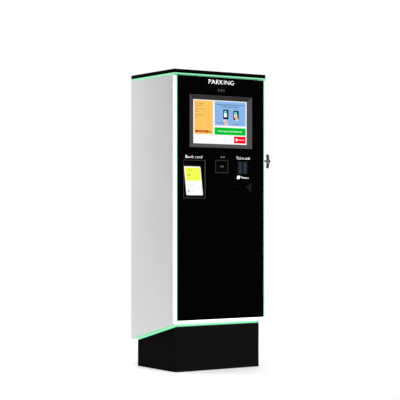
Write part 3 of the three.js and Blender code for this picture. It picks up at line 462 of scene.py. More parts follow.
class Sheet(Draft):
    """A flat picture made of thin closed slabs, laid out in a plane's own coordinates."""

    def __init__(self, origin, across, up, width, height, tones=None):
        super().__init__(tones)
        self.origin = Vector(origin)
        self.across = Vector(across).normalized()
        self.up = Vector(up).normalized()
        self.out = self.across.cross(self.up)
        self.width = width
        self.height = height

    def slab(self, outline, layer, key):
        """Adds one patch whose outline is in metres across and up from the origin."""
        depth = layer * LAYER_GAP - PRINT_THICKNESS
        base = [self.shape.verts.new(
            self.origin + self.across * u + self.up * v + self.out * depth) for u, v in outline]
        cap = [self.shape.verts.new(vert.co + self.out * PRINT_THICKNESS) for vert in base]
        faces = [self.shape.faces.new(cap), self.shape.faces.new(base[::-1])]
        for i in range(len(base)):
            j = (i + 1) % len(base)
            faces.append(self.shape.faces.new((base[i], base[j], cap[j], cap[i])))
        self.paint(faces, key)

    def patch(self, left, right, top, bottom, layer, key, radius=0.01):
        """A rounded rectangle, in shares of the picture, measured from its top left."""
        self.slab(rounded_outline(
            left * self.width, right * self.width,
            (1 - bottom) * self.height, (1 - top) * self.height, radius * self.width), layer, key)

    def disc(self, u, v, radius, layer, key):
        steps = 20
        turns = [2 * math.pi * step / steps for step in range(steps)]
        self.slab([((u + radius * math.cos(turn)) * self.width,
                    (1 - v) * self.height + radius * self.width * math.sin(turn))
                   for turn in turns], layer, key)

    def text(self, words, left, middle, size, layer, key, align="LEFT"):
        """A line of print. The size is the height of the type as a share of the width."""
        mesh = type_mesh(words, align, PRINT_THICKNESS / (size * self.width),
                         SMALL_TYPE_WEIGHT)
        place = Matrix.Translation(
            self.origin + self.across * (left * self.width)
            + self.up * ((1 - middle) * self.height)
            + self.out * (layer * LAYER_GAP - PRINT_THICKNESS / 2))
        turn = Matrix((self.across, self.up, self.out)).transposed().to_4x4()
        mesh.transform(place @ turn @ Matrix.Scale(size * self.width, 4))
        self.paint(mesh.polygons, key)
        self.shape.from_mesh(mesh)
        bpy.data.meshes.remove(mesh)


class Kit(Draft):
    """Fittings gathered into one piece. Places and sizes are in millimetres."""

    def block(self, low, high, key, radius=0.4):
        """A block with rounded edges."""
        low, high, shape = Vector(low) * MM, Vector(high) * MM, self.shape
        size = high - low
        made = bmesh.ops.create_cube(shape, size=1.0)["verts"]
        bmesh.ops.scale(shape, vec=size, verts=made)
        bmesh.ops.translate(shape, vec=(low + high) / 2, verts=made)
        faces = {face for vert in made for face in vert.link_faces}
        if radius > 0:
            edges = {edge for vert in made for edge in vert.link_edges}
            rounded = bmesh.ops.bevel(
                shape, geom=list(edges), offset=min(radius * MM, min(size) * 0.45), segments=2,
                profile=0.5, affect="EDGES", clamp_overlap=True)["verts"]
            faces = {face for vert in rounded for face in vert.link_faces}
        self.paint(faces, key)

    def pad(self, x, z, half_wide, half_high, near, far, key, radius=0.4):
        """A block centred on (x, z) that reaches from near to far in depth."""
        self.block((x - half_wide, near, z - half_high), (x + half_wide, far, z + half_high),
                   key, radius)

    def turned(self, place, axis, profile, key, segments=18, hexagon=()):
        """Adds a turned form from [(radius, height), ...] along the axis.

        Rings whose index is in hexagon are six-sided instead of round.
        """
        spin = Vector(UP).rotation_difference(Vector(axis)).to_matrix().to_4x4()
        turn = Matrix.Translation(Vector(place) * MM) @ spin
        rings = []
        for index, (radius, height) in enumerate(profile):
            ring = []
            for step in range(segments):
                angle = 2 * math.pi * step / segments
                reach = radius * MM
                if index in hexagon:
                    reach *= math.cos(math.pi / 6) / math.cos(angle % (math.pi / 3) - math.pi / 6)
                spot = Vector((reach * math.cos(angle), reach * math.sin(angle), height * MM))
                ring.append(self.shape.verts.new(turn @ spot))
            rings.append(ring)
        faces = [self.shape.faces.new(rings[0][::-1]), self.shape.faces.new(rings[-1])]
        self.paint(faces, key)
        self.skin(list(zip(rings, rings[1:])), key)

    def skin(self, pairs, key):
        """Joins each pair of equal rings with a band of faces."""
        for lower, upper in pairs:
            for step in range(len(lower)):
                after = (step + 1) % len(lower)
                self.paint([self.shape.faces.new(
                    (lower[step], lower[after], upper[after], upper[step]))], key)

    def head(self, place, axis, radius, shares, key, hexagon):
        profile = [(radius * reach, radius * height) for reach, height in shares]
        self.turned(place, axis, profile, key, hexagon=hexagon)

    def screw(self, place, axis, radius, key="steel"):
        """A button head with a hexagon socket, on a thin washer."""
        self.head(place, axis, radius, [
            (1.3, 0), (1.3, 0.18), (1, 0.18), (1, 0.4), (0.8, 0.78), (0.56, 0.86), (0.5, 0.86),
            (0.46, 0.4)], key, (6, 7))

    def nut(self, place, axis, radius):
        """A hexagon nut on a washer, with the end of its stud."""
        self.head(place, axis, radius, [
            (1.35, 0), (1.35, 0.15), (1, 0.15), (1, 0.9), (0.86, 1), (0.52, 1), (0.52, 1.35),
            (0.42, 1.45)], "steel", (2, 3))

    def screws(self, places, depth, axis, radius, key="steel"):
        """Screws of one size at (x, z) places that share a depth."""
        for x, z in places:
            self.screw((x, depth, z), axis, radius, key)

    def finish(self, name, body, slot):
        shade_smooth(super().finish(name, body, slot), FINE_CREASE)


def type_mesh(words, align="CENTER", thickness=1.0, weight=LABEL_WEIGHT):
    """Type one unit high, centred on its line, as a thin solid mesh."""
    curve = bpy.data.curves.new("type", "FONT")
    curve.body = words
    curve.align_x = align
    curve.align_y = "CENTER"
    curve.extrude = thickness / 2
    curve.offset = weight
    curve.resolution_u = 3
    curve.space_character = 1.05
    maker = bpy.data.objects.new("type_maker", curve)
    bpy.context.scene.collection.objects.link(maker)
    bpy.context.view_layer.update()
    mesh = bpy.data.meshes.new_from_object(
        maker.evaluated_get(bpy.context.evaluated_depsgraph_get()))
    bpy.data.objects.remove(maker)
    mesh.materials.clear()
    return mesh


def lettering(name, words, centre, width, height):
    """A printed word on the door's face, fitted to a width and a height."""
    mesh = type_mesh(words)
    low, high = (Vector([pick(vert.co[i] for vert in mesh.vertices) for i in range(3)])
                 for pick in (min, max))
    size = high - low
    scale = Matrix.Diagonal((width / size[0], height / size[1], PRINT_THICKNESS / size[2], 1))
    upright = Matrix.Rotation(math.pi / 2, 4, "X")
    place = Matrix.Translation((centre[0], FACE_Y - PRINT_THICKNESS / 2, centre[1]))
    mesh.transform(place @ upright @ scale @ Matrix.Translation(-(high + low) / 2))
    shape = bmesh.new()
    shape.from_mesh(mesh)
    bpy.data.meshes.remove(mesh)
    add_piece(name, shape, "door", "black_gloss", [MATERIALS["print"]])


# ---------------------------------------------------------------- camera, light and floor

def make_camera():
    data = bpy.data.cameras.new("camera")
    data.lens = CAMERA_LENS
    data.sensor_width = 36
    data.shift_y = CAMERA_SHIFT_Y
    data.clip_end = 500
    camera = bpy.data.objects.new("camera", data)
    camera.location = CAMERA_PLACE
    camera.rotation_euler = (math.pi / 2, 0, CAMERA_TURN)
    bpy.context.scene.collection.objects.link(camera)
    bpy.context.scene.camera = camera


def area_light(name, place, target, size, power, spread):
    data = bpy.data.lights.new(name, "AREA")
    data.spread = math.radians(spread)
    data.shape = "RECTANGLE"
    data.size, data.size_y = size
    data.energy = power
    light = bpy.data.objects.new(name, data)
    light.location = place
    direction = Vector(target) - Vector(place)
    light.rotation_euler = direction.to_track_quat("-Z", "Y").to_euler()
    light.visible_glossy = False
    light.visible_camera = False
    bpy.context.scene.collection.objects.link(light)


def make_studio():
    """A white room with a dark flag at the front right, where the glass front looks."""
    world = bpy.data.worlds.new("studio")
    bpy.context.scene.world = world
    world.use_nodes = True
    nodes, links = world.node_tree.nodes, world.node_tree.links

    def pick(factor, otherwise, chosen):
        made = nodes.new("ShaderNodeMix")
        links.new(factor, made.inputs["Factor"])
        for socket, value in (("A", otherwise), ("B", chosen)):
            if isinstance(value, float):
                made.inputs[socket].default_value = value
            else:
                links.new(value, made.inputs[socket])
        return made.outputs["Result"]

    toward_flag = nodes.new("ShaderNodeVectorMath")
    toward_flag.operation = "DOT_PRODUCT"
    links.new(nodes.new("ShaderNodeTexCoord").outputs["Generated"], toward_flag.inputs[0])
    toward_flag.inputs[1].default_value = Vector(FLAG_DIRECTION).normalized()
    gloss = nodes.new("ShaderNodeMapRange")
    gloss.interpolation_type = "SMOOTHSTEP"
    links.new(toward_flag.outputs["Value"], gloss.inputs["Value"])
    for socket, value in (("From Min", FLAG_RIM), ("From Max", FLAG_CORE),
                          ("To Min", ROOM_GLOSS), ("To Max", 0.0)):
        gloss.inputs[socket].default_value = value

    paths = nodes.new("ShaderNodeLightPath").outputs
    strength = pick(paths["Is Glossy Ray"], ROOM_LIGHT, gloss.outputs["Result"])
    strength = pick(paths["Is Camera Ray"], strength, 1.0)
    nodes["Background"].inputs["Color"].default_value = (1, 1, 1, 1)
    links.new(strength, nodes["Background"].inputs["Strength"])

    for light in AREA_LIGHTS:
        area_light(*light)
    sun = bpy.data.lights.new("overhead", "SUN")
    sun.energy = SUN_POWER
    sun.angle = SUN_ANGLE
    overhead = bpy.data.objects.new("overhead", sun)
    overhead.location = (0, 0, 6)
    bpy.context.scene.collection.objects.link(overhead)
    bpy.context.scene.view_settings.view_transform = "Standard"


def make_floor():
    """A wide pale floor that fades into the white room."""
    shape = bmesh.new()
    bmesh.ops.create_grid(shape, x_segments=8, y_segments=8, size=FLOOR_HALF)
    mesh = bpy.data.meshes.new("floor")
    shape.to_mesh(mesh)
    shape.free()
    shade = Shader("floor_paint", (0.95, 0.95, 0.95), 0.7)
    shade.set("Specular IOR Level", 0.1)
    shade.vary_color(shade.noise(2), 0.99, 1.0)
    mesh.materials.append(shade.material)
    floor = bpy.data.objects.new("floor", mesh)
    bpy.context.scene.collection.objects.link(floor)


# ---------------------------------------------------------------- screen and terminal pictures

def lit_tones(prefix, colors):
    return {name: lit_print(f"{prefix}_{name}", color).material for name, color in colors.items()}


def display_picture():
    """A generic payment menu: a ticket summary, a how-to panel and two coloured buttons."""
    low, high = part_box("touch_display")
    origin = (low.x + DISPLAY_MARGIN, low.y, low.z + DISPLAY_MARGIN)
    width, height = (high[axis] - low[axis] - 2 * DISPLAY_MARGIN for axis in (0, 2))
    sheet = Sheet(origin, (1, 0, 0), UP, width, height, lit_tones("screen", {
        "white": (0.93, 0.93, 0.93), "orange": (0.96, 0.53, 0.12), "blue": (0.25, 0.45, 0.78),
        "green": (0.0, 0.52, 0.03), "red": (0.98, 0.0, 0.01), "brown": (0.30, 0.12, 0.03),
        "dark": (0.01, 0.012, 0.03), "maroon": (0.42, 0.05, 0.0), "cyan": (0.15, 0.62, 0.62),
        "peach": (0.92, 0.40, 0.18)}))
    sheet.patch(0.0, 1.0, 0.0, 1.0, 1, "white", 0.002)
    for left, right, top, bottom, tone in (
            (0.017, 0.363, 0.017, 0.785, "orange"), (0.393, 0.982, 0.017, 0.572, "blue"),
            (0.393, 0.982, 0.618, 0.787, "green"), (0.76, 0.982, 0.812, 0.973, "red")):
        sheet.patch(left, right, top, bottom, 2, tone, 0.004)

    for middle, size, words in (
            (0.088, 0.030, "Your ticket"), (0.138, 0.030, "Car park"),
            (0.215, 0.026, "Time of arrival"), (0.268, 0.026, "09:42"),
            (0.345, 0.026, "Amount to pay"), (0.398, 0.026, "4.00")):
        sheet.text(words, 0.036, middle, size, 3, "brown")
    sheet.patch(0.036, 0.29, 0.70, 0.748, 3, "maroon", 0.008)
    sheet.text("Free exit time", 0.082, 0.724, 0.023, 4, "orange")
    sheet.disc(0.052, 0.724, 0.012, 4, "dark")
    sheet.disc(0.318, 0.73, 0.019, 3, "green")

    for words, centre, middle, size in (
            ("Hold your card at the reader on the left", 0.687, 0.088, 0.031),
            ("until the light turns green", 0.687, 0.136, 0.028),
            ("Hold card here", 0.495, 0.512, 0.022), ("Use a phone", 0.80, 0.523, 0.022)):
        sheet.text(words, centre, middle, size, 3, "dark", "CENTER")
    device_icon(sheet, 0.553, 0.655, 0.2, 0.425)
    device_icon(sheet, 0.745, 0.85, 0.215, 0.43)
    held_card(sheet, (0.60, 0.50))
    held_card(sheet, (0.80, 0.38))
    sheet.text("Pay by card or with banknotes", 0.687, 0.703, 0.034, 3, "white", "CENTER")
    sheet.disc(0.812, 0.892, 0.021, 3, "white")
    sheet.text("Cancel", 0.852, 0.893, 0.034, 3, "white")
    sheet.finish("touch_display_picture", "door", "display_glass")


def device_icon(sheet, left, right, top, bottom):
    """A small drawing of a reader: a dark case, a lit screen and a light receipt."""
    wide = right - left
    inner = (left + 0.16 * wide, right - 0.3 * wide)
    sheet.patch(left, right, top, bottom, 3, "dark", 0.02)
    sheet.patch(*inner, top + 0.03, top + 0.09, 4, "cyan", 0.006)
    sheet.patch(*inner, top + 0.09, bottom - 0.05, 5, "white", 0.004)


def held_card(sheet, centre):
    """A small tilted card under a device drawing."""
    turn = math.radians(28)
    for layer, tone, half_wide, half_high in ((5, "white", 0.024, 0.046), (6, "peach", 0.02, 0.038)):
        outline = []
        for u, v in rounded_outline(-half_wide, half_wide, -half_high, half_high, 0.006):
            across = u * math.cos(turn) - v * math.sin(turn)
            upward = u * math.sin(turn) + v * math.cos(turn)
            outline.append(((centre[0] + across) * sheet.width,
                            (1 - centre[1]) * sheet.height + upward * sheet.width))
        sheet.slab(outline, layer, tone)


def terminal_picture():
    """The card terminal's screen: a yellow card above a short white list."""
    low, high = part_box("card_terminal_display")
    up = Vector((0, math.sin(TERMINAL_TILT), math.cos(TERMINAL_TILT)))
    origin = Vector((low.x + TERMINAL_MARGIN, low.y, low.z)) + up * TERMINAL_MARGIN
    width = high.x - low.x - 2 * TERMINAL_MARGIN
    height = (high.z - low.z) / math.cos(TERMINAL_TILT) - 2 * TERMINAL_MARGIN
    sheet = Sheet(origin, (1, 0, 0), up, width, height, lit_tones("terminal", {
        "yellow": (0.86, 0.98, 0.075), "white": (0.92, 0.92, 0.93), "olive": (0.30, 0.34, 0.05),
        "grey": (0.55, 0.55, 0.58), "slate": (0.13, 0.13, 0.17)}))
    sheet.patch(0, 1, 0, 1, 1, "white", 0.055)
    sheet.patch(0.035, 0.965, 0.03, 0.5, 2, "yellow", 0.035)
    for words, left, middle, size, layer, tone in (
            ("Welcome", 0.12, 0.13, 0.085, 3, "olive"), ("4.00", 0.1, 0.295, 0.15, 3, "slate"),
            ("Ticket", 0.12, 0.415, 0.07, 3, "olive"), ("Card", 0.55, 0.415, 0.07, 3, "olive"),
            ("Pay with", 0.12, 0.55, 0.06, 2, "grey")):
        sheet.text(words, left, middle, size, layer, tone)
    for middle, dot, words in ((0.65, "yellow", "Hold card"), (0.86, "slate", "Insert card")):
        sheet.disc(0.15, middle, 0.045, 2, dot)
        sheet.text(words, 0.26, middle, 0.065, 2, "grey")
        sheet.text("OK", 0.82, middle, 0.06, 2, "grey")
    sheet.patch(0.12, 0.88, 0.748, 0.754, 2, "grey", 0.002)
    sheet.finish("card_terminal_picture", "door", "display_glass")


# ---------------------------------------------------------------- printed labels

def labels():
    """The words and the two marks that are printed on the door's face."""
    for name, words, centre, width, height in (
            ("title", "PARKING", (-0.0005, 1.639), 0.174, 0.025),
            ("card", "Bank card", (-0.187, 1.2105), 0.110, 0.0155),
            ("code", "Ticket code", (0.1525, 1.2105), 0.095, 0.0155),
            ("notes", "Notes", (0.1645, 1.0985), 0.052, 0.0125)):
        lettering(f"label_{name}", words, centre, width, height)
    notes_icon()
    contactless_icon()


def notes_icon():
    """Two offset bank notes with a round centre, drawn in the label's white ink."""
    sheet = Sheet((0.1085, FACE_Y, 1.0895), (1, 0, 0), UP, 0.021, 0.018)
    sheet.patch(0.12, 1.0, 0.0, 0.62, 1, "print", 0.09)
    sheet.patch(0.0, 0.86, 0.28, 1.0, 2, "black_gloss", 0.1)
    sheet.patch(0.03, 0.83, 0.33, 0.96, 3, "print", 0.09)
    sheet.disc(0.43, 0.645, 0.17, 4, "black_gloss")
    sheet.disc(0.43, 0.645, 0.09, 5, "print")
    sheet.finish("label_notes_icon", "door", "black_gloss")


def contactless_icon():
    """A dot and three low arcs in dim grey, in a row at the centre of the contactless pad."""
    half_width, half_rise, stroke, dot, steps = 10 * MM, 5 * MM, 1.6 * MM, 2.2 * MM, 10
    low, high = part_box("contactless_reader_pad")
    sheet = Sheet(low, (1, 0, 0), UP, high.x - low.x, high.z - low.z)
    centre_u = sheet.width / 2 - half_width
    centre_v = sheet.height / 2
    for radius in (8 * MM, 14 * MM, 20 * MM):
        half = math.asin(half_rise / radius)
        angles = [half * (2 * step / steps - 1) for step in range(steps + 1)]
        sheet.slab([
            (centre_u + reach * math.cos(angle), centre_v + reach * math.sin(angle))
            for reach, turn in ((radius + stroke, angles), (radius, angles[::-1]))
            for angle in turn], 1, "mark")
    sheet.disc(centre_u / sheet.width, 0.5, dot / sheet.width, 1, "mark")
    sheet.finish("contactless_mark", "door", "black_plastic")


# ---------------------------------------------------------------- finished CAD nodes

# The radius of each node's edges in millimetres, for nodes that have one material.
EDGE_RADII = (
    ("plinth_shell", 1.2), ("door_trim", 0.5), ("door_panel", 0.3),
    ("front_glass", 0.5), ("scanner_bezel", 0.7), ("scanner_window", 0.5),
    ("card_terminal_body", 2.0), ("handle_escutcheon", 1.2), ("lock_plug", 0.6),
    ("cashbox", 0.6), ("bill_validator", 0.8), ("monitor_chassis", 1.0),
    ("industrial_pc", 0.5), ("network_router", 1.5), ("power_supply", 0.8),
    ("circuit_breaker", 0.8), ("terminal_block", 0.6), ("breaker_lever", 0.6),
    ("fan_housing", 0.8), ("fan_rotor", 0.4), ("cable_duct", 0.6),
    ("component_plate", 0.4), ("door_post_left", 0.4), ("door_post_right", 0.4),
    ("door_header", 0.4), ("door_sill", 0.4), ("hinge_bracket_upper", 0.3),
    ("hinge_bracket_lower", 0.3), ("hinge_leaf_upper", 0.3), ("hinge_leaf_lower", 0.3),
    ("lock_keeper", 0.3), ("lock_cam", 0.5), ("door_switch_body", 0.8),
    ("scanner_engine", 1.0), ("camera_module", 1.0), ("door_seal", 3.0),
    ("base_plate", 0.6), ("cable_gland", 0.8), ("din_rail", 0.2),
    ("door_switch_plunger", 0.6))


def toward(axis, sign, share=0.6):
    """A test for faces whose normal leans at least that share along a signed axis."""
    return lambda face: face.normal[axis] * sign > share


def anywhere(face):
    return True


def dress_handle():
    """The neck is bright with a dark collar, and a bright ring leads into the black boss."""
    centre_y, centre_z = (sum(c[axis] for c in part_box("t_handle")) / 2 for axis in (1, 2))
    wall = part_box("handle_escutcheon")[1].x
    collar, boss, ring = (wall + offset for offset in (HANDLE_COLLAR, HANDLE_BOSS, HANDLE_RING))

    def bright(face):
        place = face.calc_center_median()
        reach = math.hypot(place.y - centre_y, place.z - centre_z)
        return reach < HANDLE_NECK and (place.x < collar or boss < place.x < ring)

    refine("t_handle", 2.2, [("chrome_metal", bright)], [(0, x) for x in (collar, boss, ring)])


def dress_light_strips():
    """A near-black margin is painted over one edge of each light strip's front face, which narrows the
    lit band.
    """
    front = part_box("base_led_strip")[0].y + 0.1 * MM
    base_low = min(
        vert.co.z for vert in NODES["base_led_strip"].data.vertices if vert.co.y < front)
    for node, axis, edge, width in (
            ("top_led_strip", 2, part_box("top_led_strip")[0].z, TOP_DARK_MARGIN),
            ("base_led_strip", 2, base_low, BASE_DARK_MARGIN),
            ("side_led_left", 0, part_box("side_led_left")[1].x, -SIDE_DARK_MARGIN),
            ("side_led_right", 0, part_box("side_led_right")[0].x, SIDE_DARK_MARGIN)):

        def in_dark_margin(face, axis=axis, edge=edge, width=width):
            depth = (face.calc_center_median()[axis] - edge) / width
            return face.normal.y < -0.6 and depth < 1

        refine(node, 0.3, [("deep", in_dark_margin)], [(axis, edge + width)])


def dress_card_recess():
    """Painted light in the recess: a pale grey highlight on its right and lower lip, mid grey on the
    front rim, and near-black painted shade farther in.
    """
    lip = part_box("card_reader_recess")[0].y + RECESS_LIP

    def gets_painted_highlight(face):
        faces_in = face.normal.x < -0.6 or face.normal.z > 0.6
        return faces_in and face.calc_center_median().y < lip

    def on_rim(face):
        return face.calc_center_median().y < lip - RECESS_LIP * 0.9

    refine("card_reader_recess", 0.8, [("lip_painted_highlight", gets_painted_highlight), ("light", on_rim), ("deep", anywhere)],
           [(1, lip)])


def refine_all(rows):
    """Each row is a node, the radius of its edges and, if it has them, its tones."""
    for row in rows:
        refine(*row)


def dress_nodes():
    """Gives every CAD node its material, then rounds the edges that a hand or an eye finds."""
    for name, node in NODES.items():
        node.data.materials.clear()
        node.data.materials.append(MATERIALS[SLOT_OF[name]])
    refine_all((
        ("side_panel_left", 0.6, [("primer", toward(0, 1))]),
        ("side_panel_right", 0.6, [("primer", toward(0, -1))]),
        ("rear_panel", 0.3, [("primer", toward(1, -1))]),
        ("roof_plate", 0.3, [("primer", toward(2, -1))]),
        # The floor pan's lower faces carry the painted green glow of the light strip.
        ("floor_pan", 0.4, [("primer", toward(2, 1)), ("underside", toward(2, -1))])))
    dress_card_recess()
    refine_all((
        # Painted light on the screen bezel: darker on its downward faces, painted shade, and lighter on
        # its faces turned left and up, painted highlight.
        ("screen_bezel", 0.8, [
            ("shade", toward(2, -1, 0.2)), ("light", toward(0, -1, 0.2)),
            ("light", toward(2, 1, 0.2))]),
        # Painted light on the contactless frame: its back and downward faces are near black and its
        # front face darker, painted shade, so its inner right and lower walls stand out lighter.
        ("contactless_reader_frame", 0.8, [
            ("deep", toward(0, 1)), ("deep", toward(2, -1)), ("shade", toward(1, -1))]),
        ("contactless_reader_pad", 0.6, [("deep", toward(1, -1))]),
        ("camera_window", 0.5, [("deep", toward(1, -1))]),
        # Painted light on the note bezel: its faces turned left take a dim grey, painted highlight, and
        # all the rest is near black.
        ("bill_bezel", 1.2, [("dim_painted_highlight", toward(0, -1, 0.2)), ("deep", anywhere)])))
    dress_light_strips()
    # The cap's front face takes the near-black dull plastic in place of its black paint: painted shade.
    refine("top_cap", 1.0, [("deep", toward(1, -1))])
    dress_handle()
    refine_all(EDGE_RADII)


# ---------------------------------------------------------------- small fittings, in millimetres

def span(node):
    """The low and high corners of a node's box, in millimetres."""
    low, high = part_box(node)
    return low / MM, high / MM


def spread(low, high, count):
    """Evenly spaced middles between two limits."""
    return [low + (high - low) * (step + 0.5) / count for step in range(count)]


def corners(low, high, inset):
    """The four places (x, z) a little in from the corners of a box."""
    return [(x, z) for x in (low.x + inset, high.x - inset) for z in (low.z + inset, high.z - inset)]


def sticker(name, node, corner, out, width, height, lines):
    """A printed label on a node. corner is its lower left, as it is read."""
    across = Vector(UP).cross(Vector(out))
    sheet = Sheet(Vector(corner) * MM, across, UP, width * MM, height * MM)
    sheet.patch(0, 1, 0, 1, 1, "paper", 0.03)
    for middle, size, words in lines:
        sheet.text(words, 0.07, middle, size, 2, "type")
    sheet.finish(name, body_of(node), SLOT_OF[node])


def door_stiffeners():
    """Two folded channels keep the lower half of the door's sheet flat."""
    back = span("door_panel")[1].y
    bottom, top = 330, 880
    for side, middle in (("left", -225), ("right", 225)):
        kit = Kit()
        kit.block((middle - 22, back, bottom), (middle + 22, back + 1.5, top), "zinc_steel", 0.3)
        kit.block((middle - 13, back, bottom), (middle + 13, back + 12, top), "zinc_steel", 2.0)
        for z in spread(bottom, top, 6):
            for x in (middle - 17.5, middle + 17.5):
                kit.turned((x, back + 1.5, z), REAR, [(2.8, 0), (2.4, 0.3), (1.4, 0.1)],
                           "zinc_steel", 12)
        kit.finish(f"door_stiffener_{side}", "door", "zinc_steel")


def document_pocket():
    """A moulded pocket on the door holds the service book."""
    back = span("door_panel")[1].y
    left, right, bottom, top, depth, wall = -110, 110, 380, 560, 20, 2
    lip = back + depth
    kit = Kit()
    for low, high in (
            ((left, back, bottom), (right, back + wall, top)),
            ((left, back, bottom), (right, lip, bottom + wall)),
            ((left, back, bottom), (left + wall, lip, top - 40)),
            ((right - wall, back, bottom), (right, lip, top - 40)),
            ((left, lip - wall, bottom), (right, lip, top - 70))):
        kit.block(low, high, "light_grey_plastic", 0.8)
    for x in spread(left, right, 5):
        kit.block((x - 2, lip - 0.3, bottom + 12), (x + 2, lip + 0.9, top - 84), "light_grey_plastic")
    kit.screws(((left + 14, top - 12), (right - 14, top - 12)), back + wall, REAR, 3.2)
    kit.finish("document_pocket", "door", "light_grey_plastic")
    book = Kit()
    book.block((-88, back + 5, bottom + 3), (88, back + 11, top + 24), "paper", 0.6)
    book.block((-90, back + 11, bottom + 2.5), (90, back + 11.8, top + 26), "blue", 0.3)
    book.finish("service_book", "door", "light_grey_plastic")


def monitor_back():
    """Air slots, sockets and screws on the back of the monitor."""
    low, high = span("monitor_chassis")
    back = high.y
    kit = Kit()
    for middle in (-82, 82):
        for z in spread(1412, 1492, 8):
            kit.pad(middle, z, 52, 2.2, back - 0.4, back + 1.6, "black_plastic", 1.2)
            # A near-black strip between the bars stands for each air slot: painted shade.
            kit.pad(middle, z + 3.8, 50, 1.2, back - 0.2, back + 0.15, "deep", 0)
    for x, half in ((-60, 20), (-8, 11), (40, 14), (86, 9)):
        kit.pad(x, 1336, half, 6, back - 0.4, back + 4, "steel", 0.8)
        # A near-black block at each socket's mouth stands for its opening: painted shade.
        kit.pad(x, 1336, half - 2, 3.5, back + 3, back + 4.4, "deep", 0.3)
    kit.screws([(x, z) for x in (-50, 50) for z in (1362, 1400)], back, REAR, 3.0)
    for x in (low.x + 6, high.x - 6):
        for z in (1333, 1491):
            kit.nut((x, low.y + 8.2, z), REAR, 4.0)
    kit.finish("monitor_fittings", "door", "black_plastic")
    sticker("monitor_label", "monitor_chassis", (34, back, 1358), REAR, 66, 40, (
        (0.2, 0.11, "Touch monitor"), (0.42, 0.085, "Input 12 V, 3 A"), (0.62, 0.085, "17 inch"),
        (0.82, 0.085, "Service side")))


def card_recess_back():
    """Screws, a cable socket and a label on the back of the card recess."""
    low, high = span("card_reader_recess")
    back = high.y
    kit = Kit()
    kit.screws(corners(low, high, 12), back, REAR, 3.0)
    kit.pad(-183, 1041, 23, 11, back - 0.4, back + 9, "deep", 1.0)
    for x in spread(-203, -163, 8):
        kit.pad(x, 1041, 1.2, 7, back + 8, back + 9.6, "brass", 0.2)
    kit.pad(-183, 1111, 29, 31, back - 0.4, back + 3, "zinc_steel", 1.0)
    kit.screws([(x, z) for z in (1086, 1136) for x in (-206, -160)], back + 3, REAR, 2.4)
    kit.finish("card_recess_fittings", "door", "grey_plastic")
    sticker("card_terminal_label", "card_reader_recess", (-163, back + 3, 1094), REAR, 40, 34, (
        (0.2, 0.13, "Terminal"), (0.45, 0.1, "5 V, 2 A"), (0.7, 0.1, "Port 1")))


def contactless_board():
    """The circuit board behind the contactless pad, with its chips and header."""
    low, high = span("contactless_reader_pad")
    front, back = high.y + 0.3, high.y + 1.9
    middle = (low + high) / 2
    kit = Kit()
    kit.block((low.x - 2, front, low.z - 2), (high.x + 2, back, high.z + 2), "board", 0.3)
    for x, z, half_wide, half_high, tall in (
            (-14, 10, 9, 9, 1.6), (14, 12, 6, 4, 1.4), (16, -6, 5, 5, 1.2), (-18, -14, 4, 6, 1.4)):
        kit.pad(middle.x + x, middle.z + z, half_wide, half_high, back - 0.1, back + tall,
                "deep", 0.3)
    for x in spread(middle.x - 14, middle.x + 20, 8):
        kit.turned((x, back, low.z + 5), REAR, [(0.8, -0.2), (0.8, 4.5), (0.4, 5)], "brass", 8)
    for x in spread(middle.x - 30, middle.x + 30, 10):
        kit.pad(x, high.z - 5, 1.2, 1, back - 0.1, back + 1, "steel", 0.2)
    kit.screws(corners(low, high, 4), back, REAR, 2.2)
    kit.finish("contactless_board", "door", "black_plastic")


def scanner_back():
    """Screws, a socket and a label on the back of the code reader."""
    low, high = span("scanner_engine")
    back = high.y
    kit = Kit()
    kit.screws(corners(low, high, 7), back, REAR, 2.6)
    kit.pad(142, 1132, 14, 5, back - 0.4, back + 6, "deep", 0.8)
    for x in spread(130, 154, 6):
        kit.pad(x, 1132, 0.9, 3, back + 5.4, back + 6.3, "brass", 0.2)
    kit.finish("scanner_fittings", "door", "black_plastic")
    sticker("scanner_label", "scanner_engine", (172, back, 1146), REAR, 46, 28, (
        (0.26, 0.12, "Code reader"), (0.52, 0.09, "5 V, 0.4 A"), (0.76, 0.09, "White light")))


def camera_details():
    """Screws and a socket behind the camera, a lens ring and two sensor openings before it."""
    low, high = span("camera_module")
    kit = Kit()
    kit.screws(corners(low, high, 5), high.y, REAR, 1.9)
    kit.pad(0, 1592, 9, 4, high.y - 0.4, high.y + 5, "deep", 0.6)
    kit.finish("camera_fittings", "door", "black_plastic")
    low, high = span("camera_window")
    middle = (low + high) / 2
    marks = Kit()
    marks.turned((middle.x, low.y + 0.1, middle.z), FRONT, [
        (8.5, 0), (8.5, 0.3), (8.2, 0.4), (5.8, 0.4), (5.6, 0.2)], "faint", 28)
    for offset in (-18, 18):
        marks.pad(middle.x + offset, middle.z, 5, 7, low.y - 0.3, low.y + 0.2, "faint", 0.2)
    marks.finish("camera_window_marks", "door", "dark_window")


def validator_fittings():
    """Screws, a latch and a label on the side of the bill validator."""
    low = span("bill_validator")[0]
    left = low.x + 2
    kit = Kit()
    for y in (low.y + 8, low.y + 82):
        kit.screws(((left, 942), (left, 1088)), y, LEFT, 2.8)
    kit.block((left - 5, low.y + 24, 1062), (left + 0.4, low.y + 62, 1078), "blue", 1.5)
    for y in spread(low.y + 28, low.y + 58, 6):
        kit.block((left - 5.8, y - 1, 1064), (left - 4.6, y + 1, 1076), "blue")
    for z in spread(960, 1010, 6):
        kit.block((left - 0.6, low.y + 20, z - 1.5), (left + 0.3, low.y + 70, z + 1.5), "deep", 0.3)
    kit.finish("validator_fittings", body_of("bill_validator"), "black_plastic")
    sticker("validator_label", "bill_validator", (left, low.y + 70, 1024), LEFT, 50, 28, (
        (0.25, 0.12, "Note reader"), (0.5, 0.09, "24 V, 2 A"), (0.75, 0.09, "Pull the blue latch")))


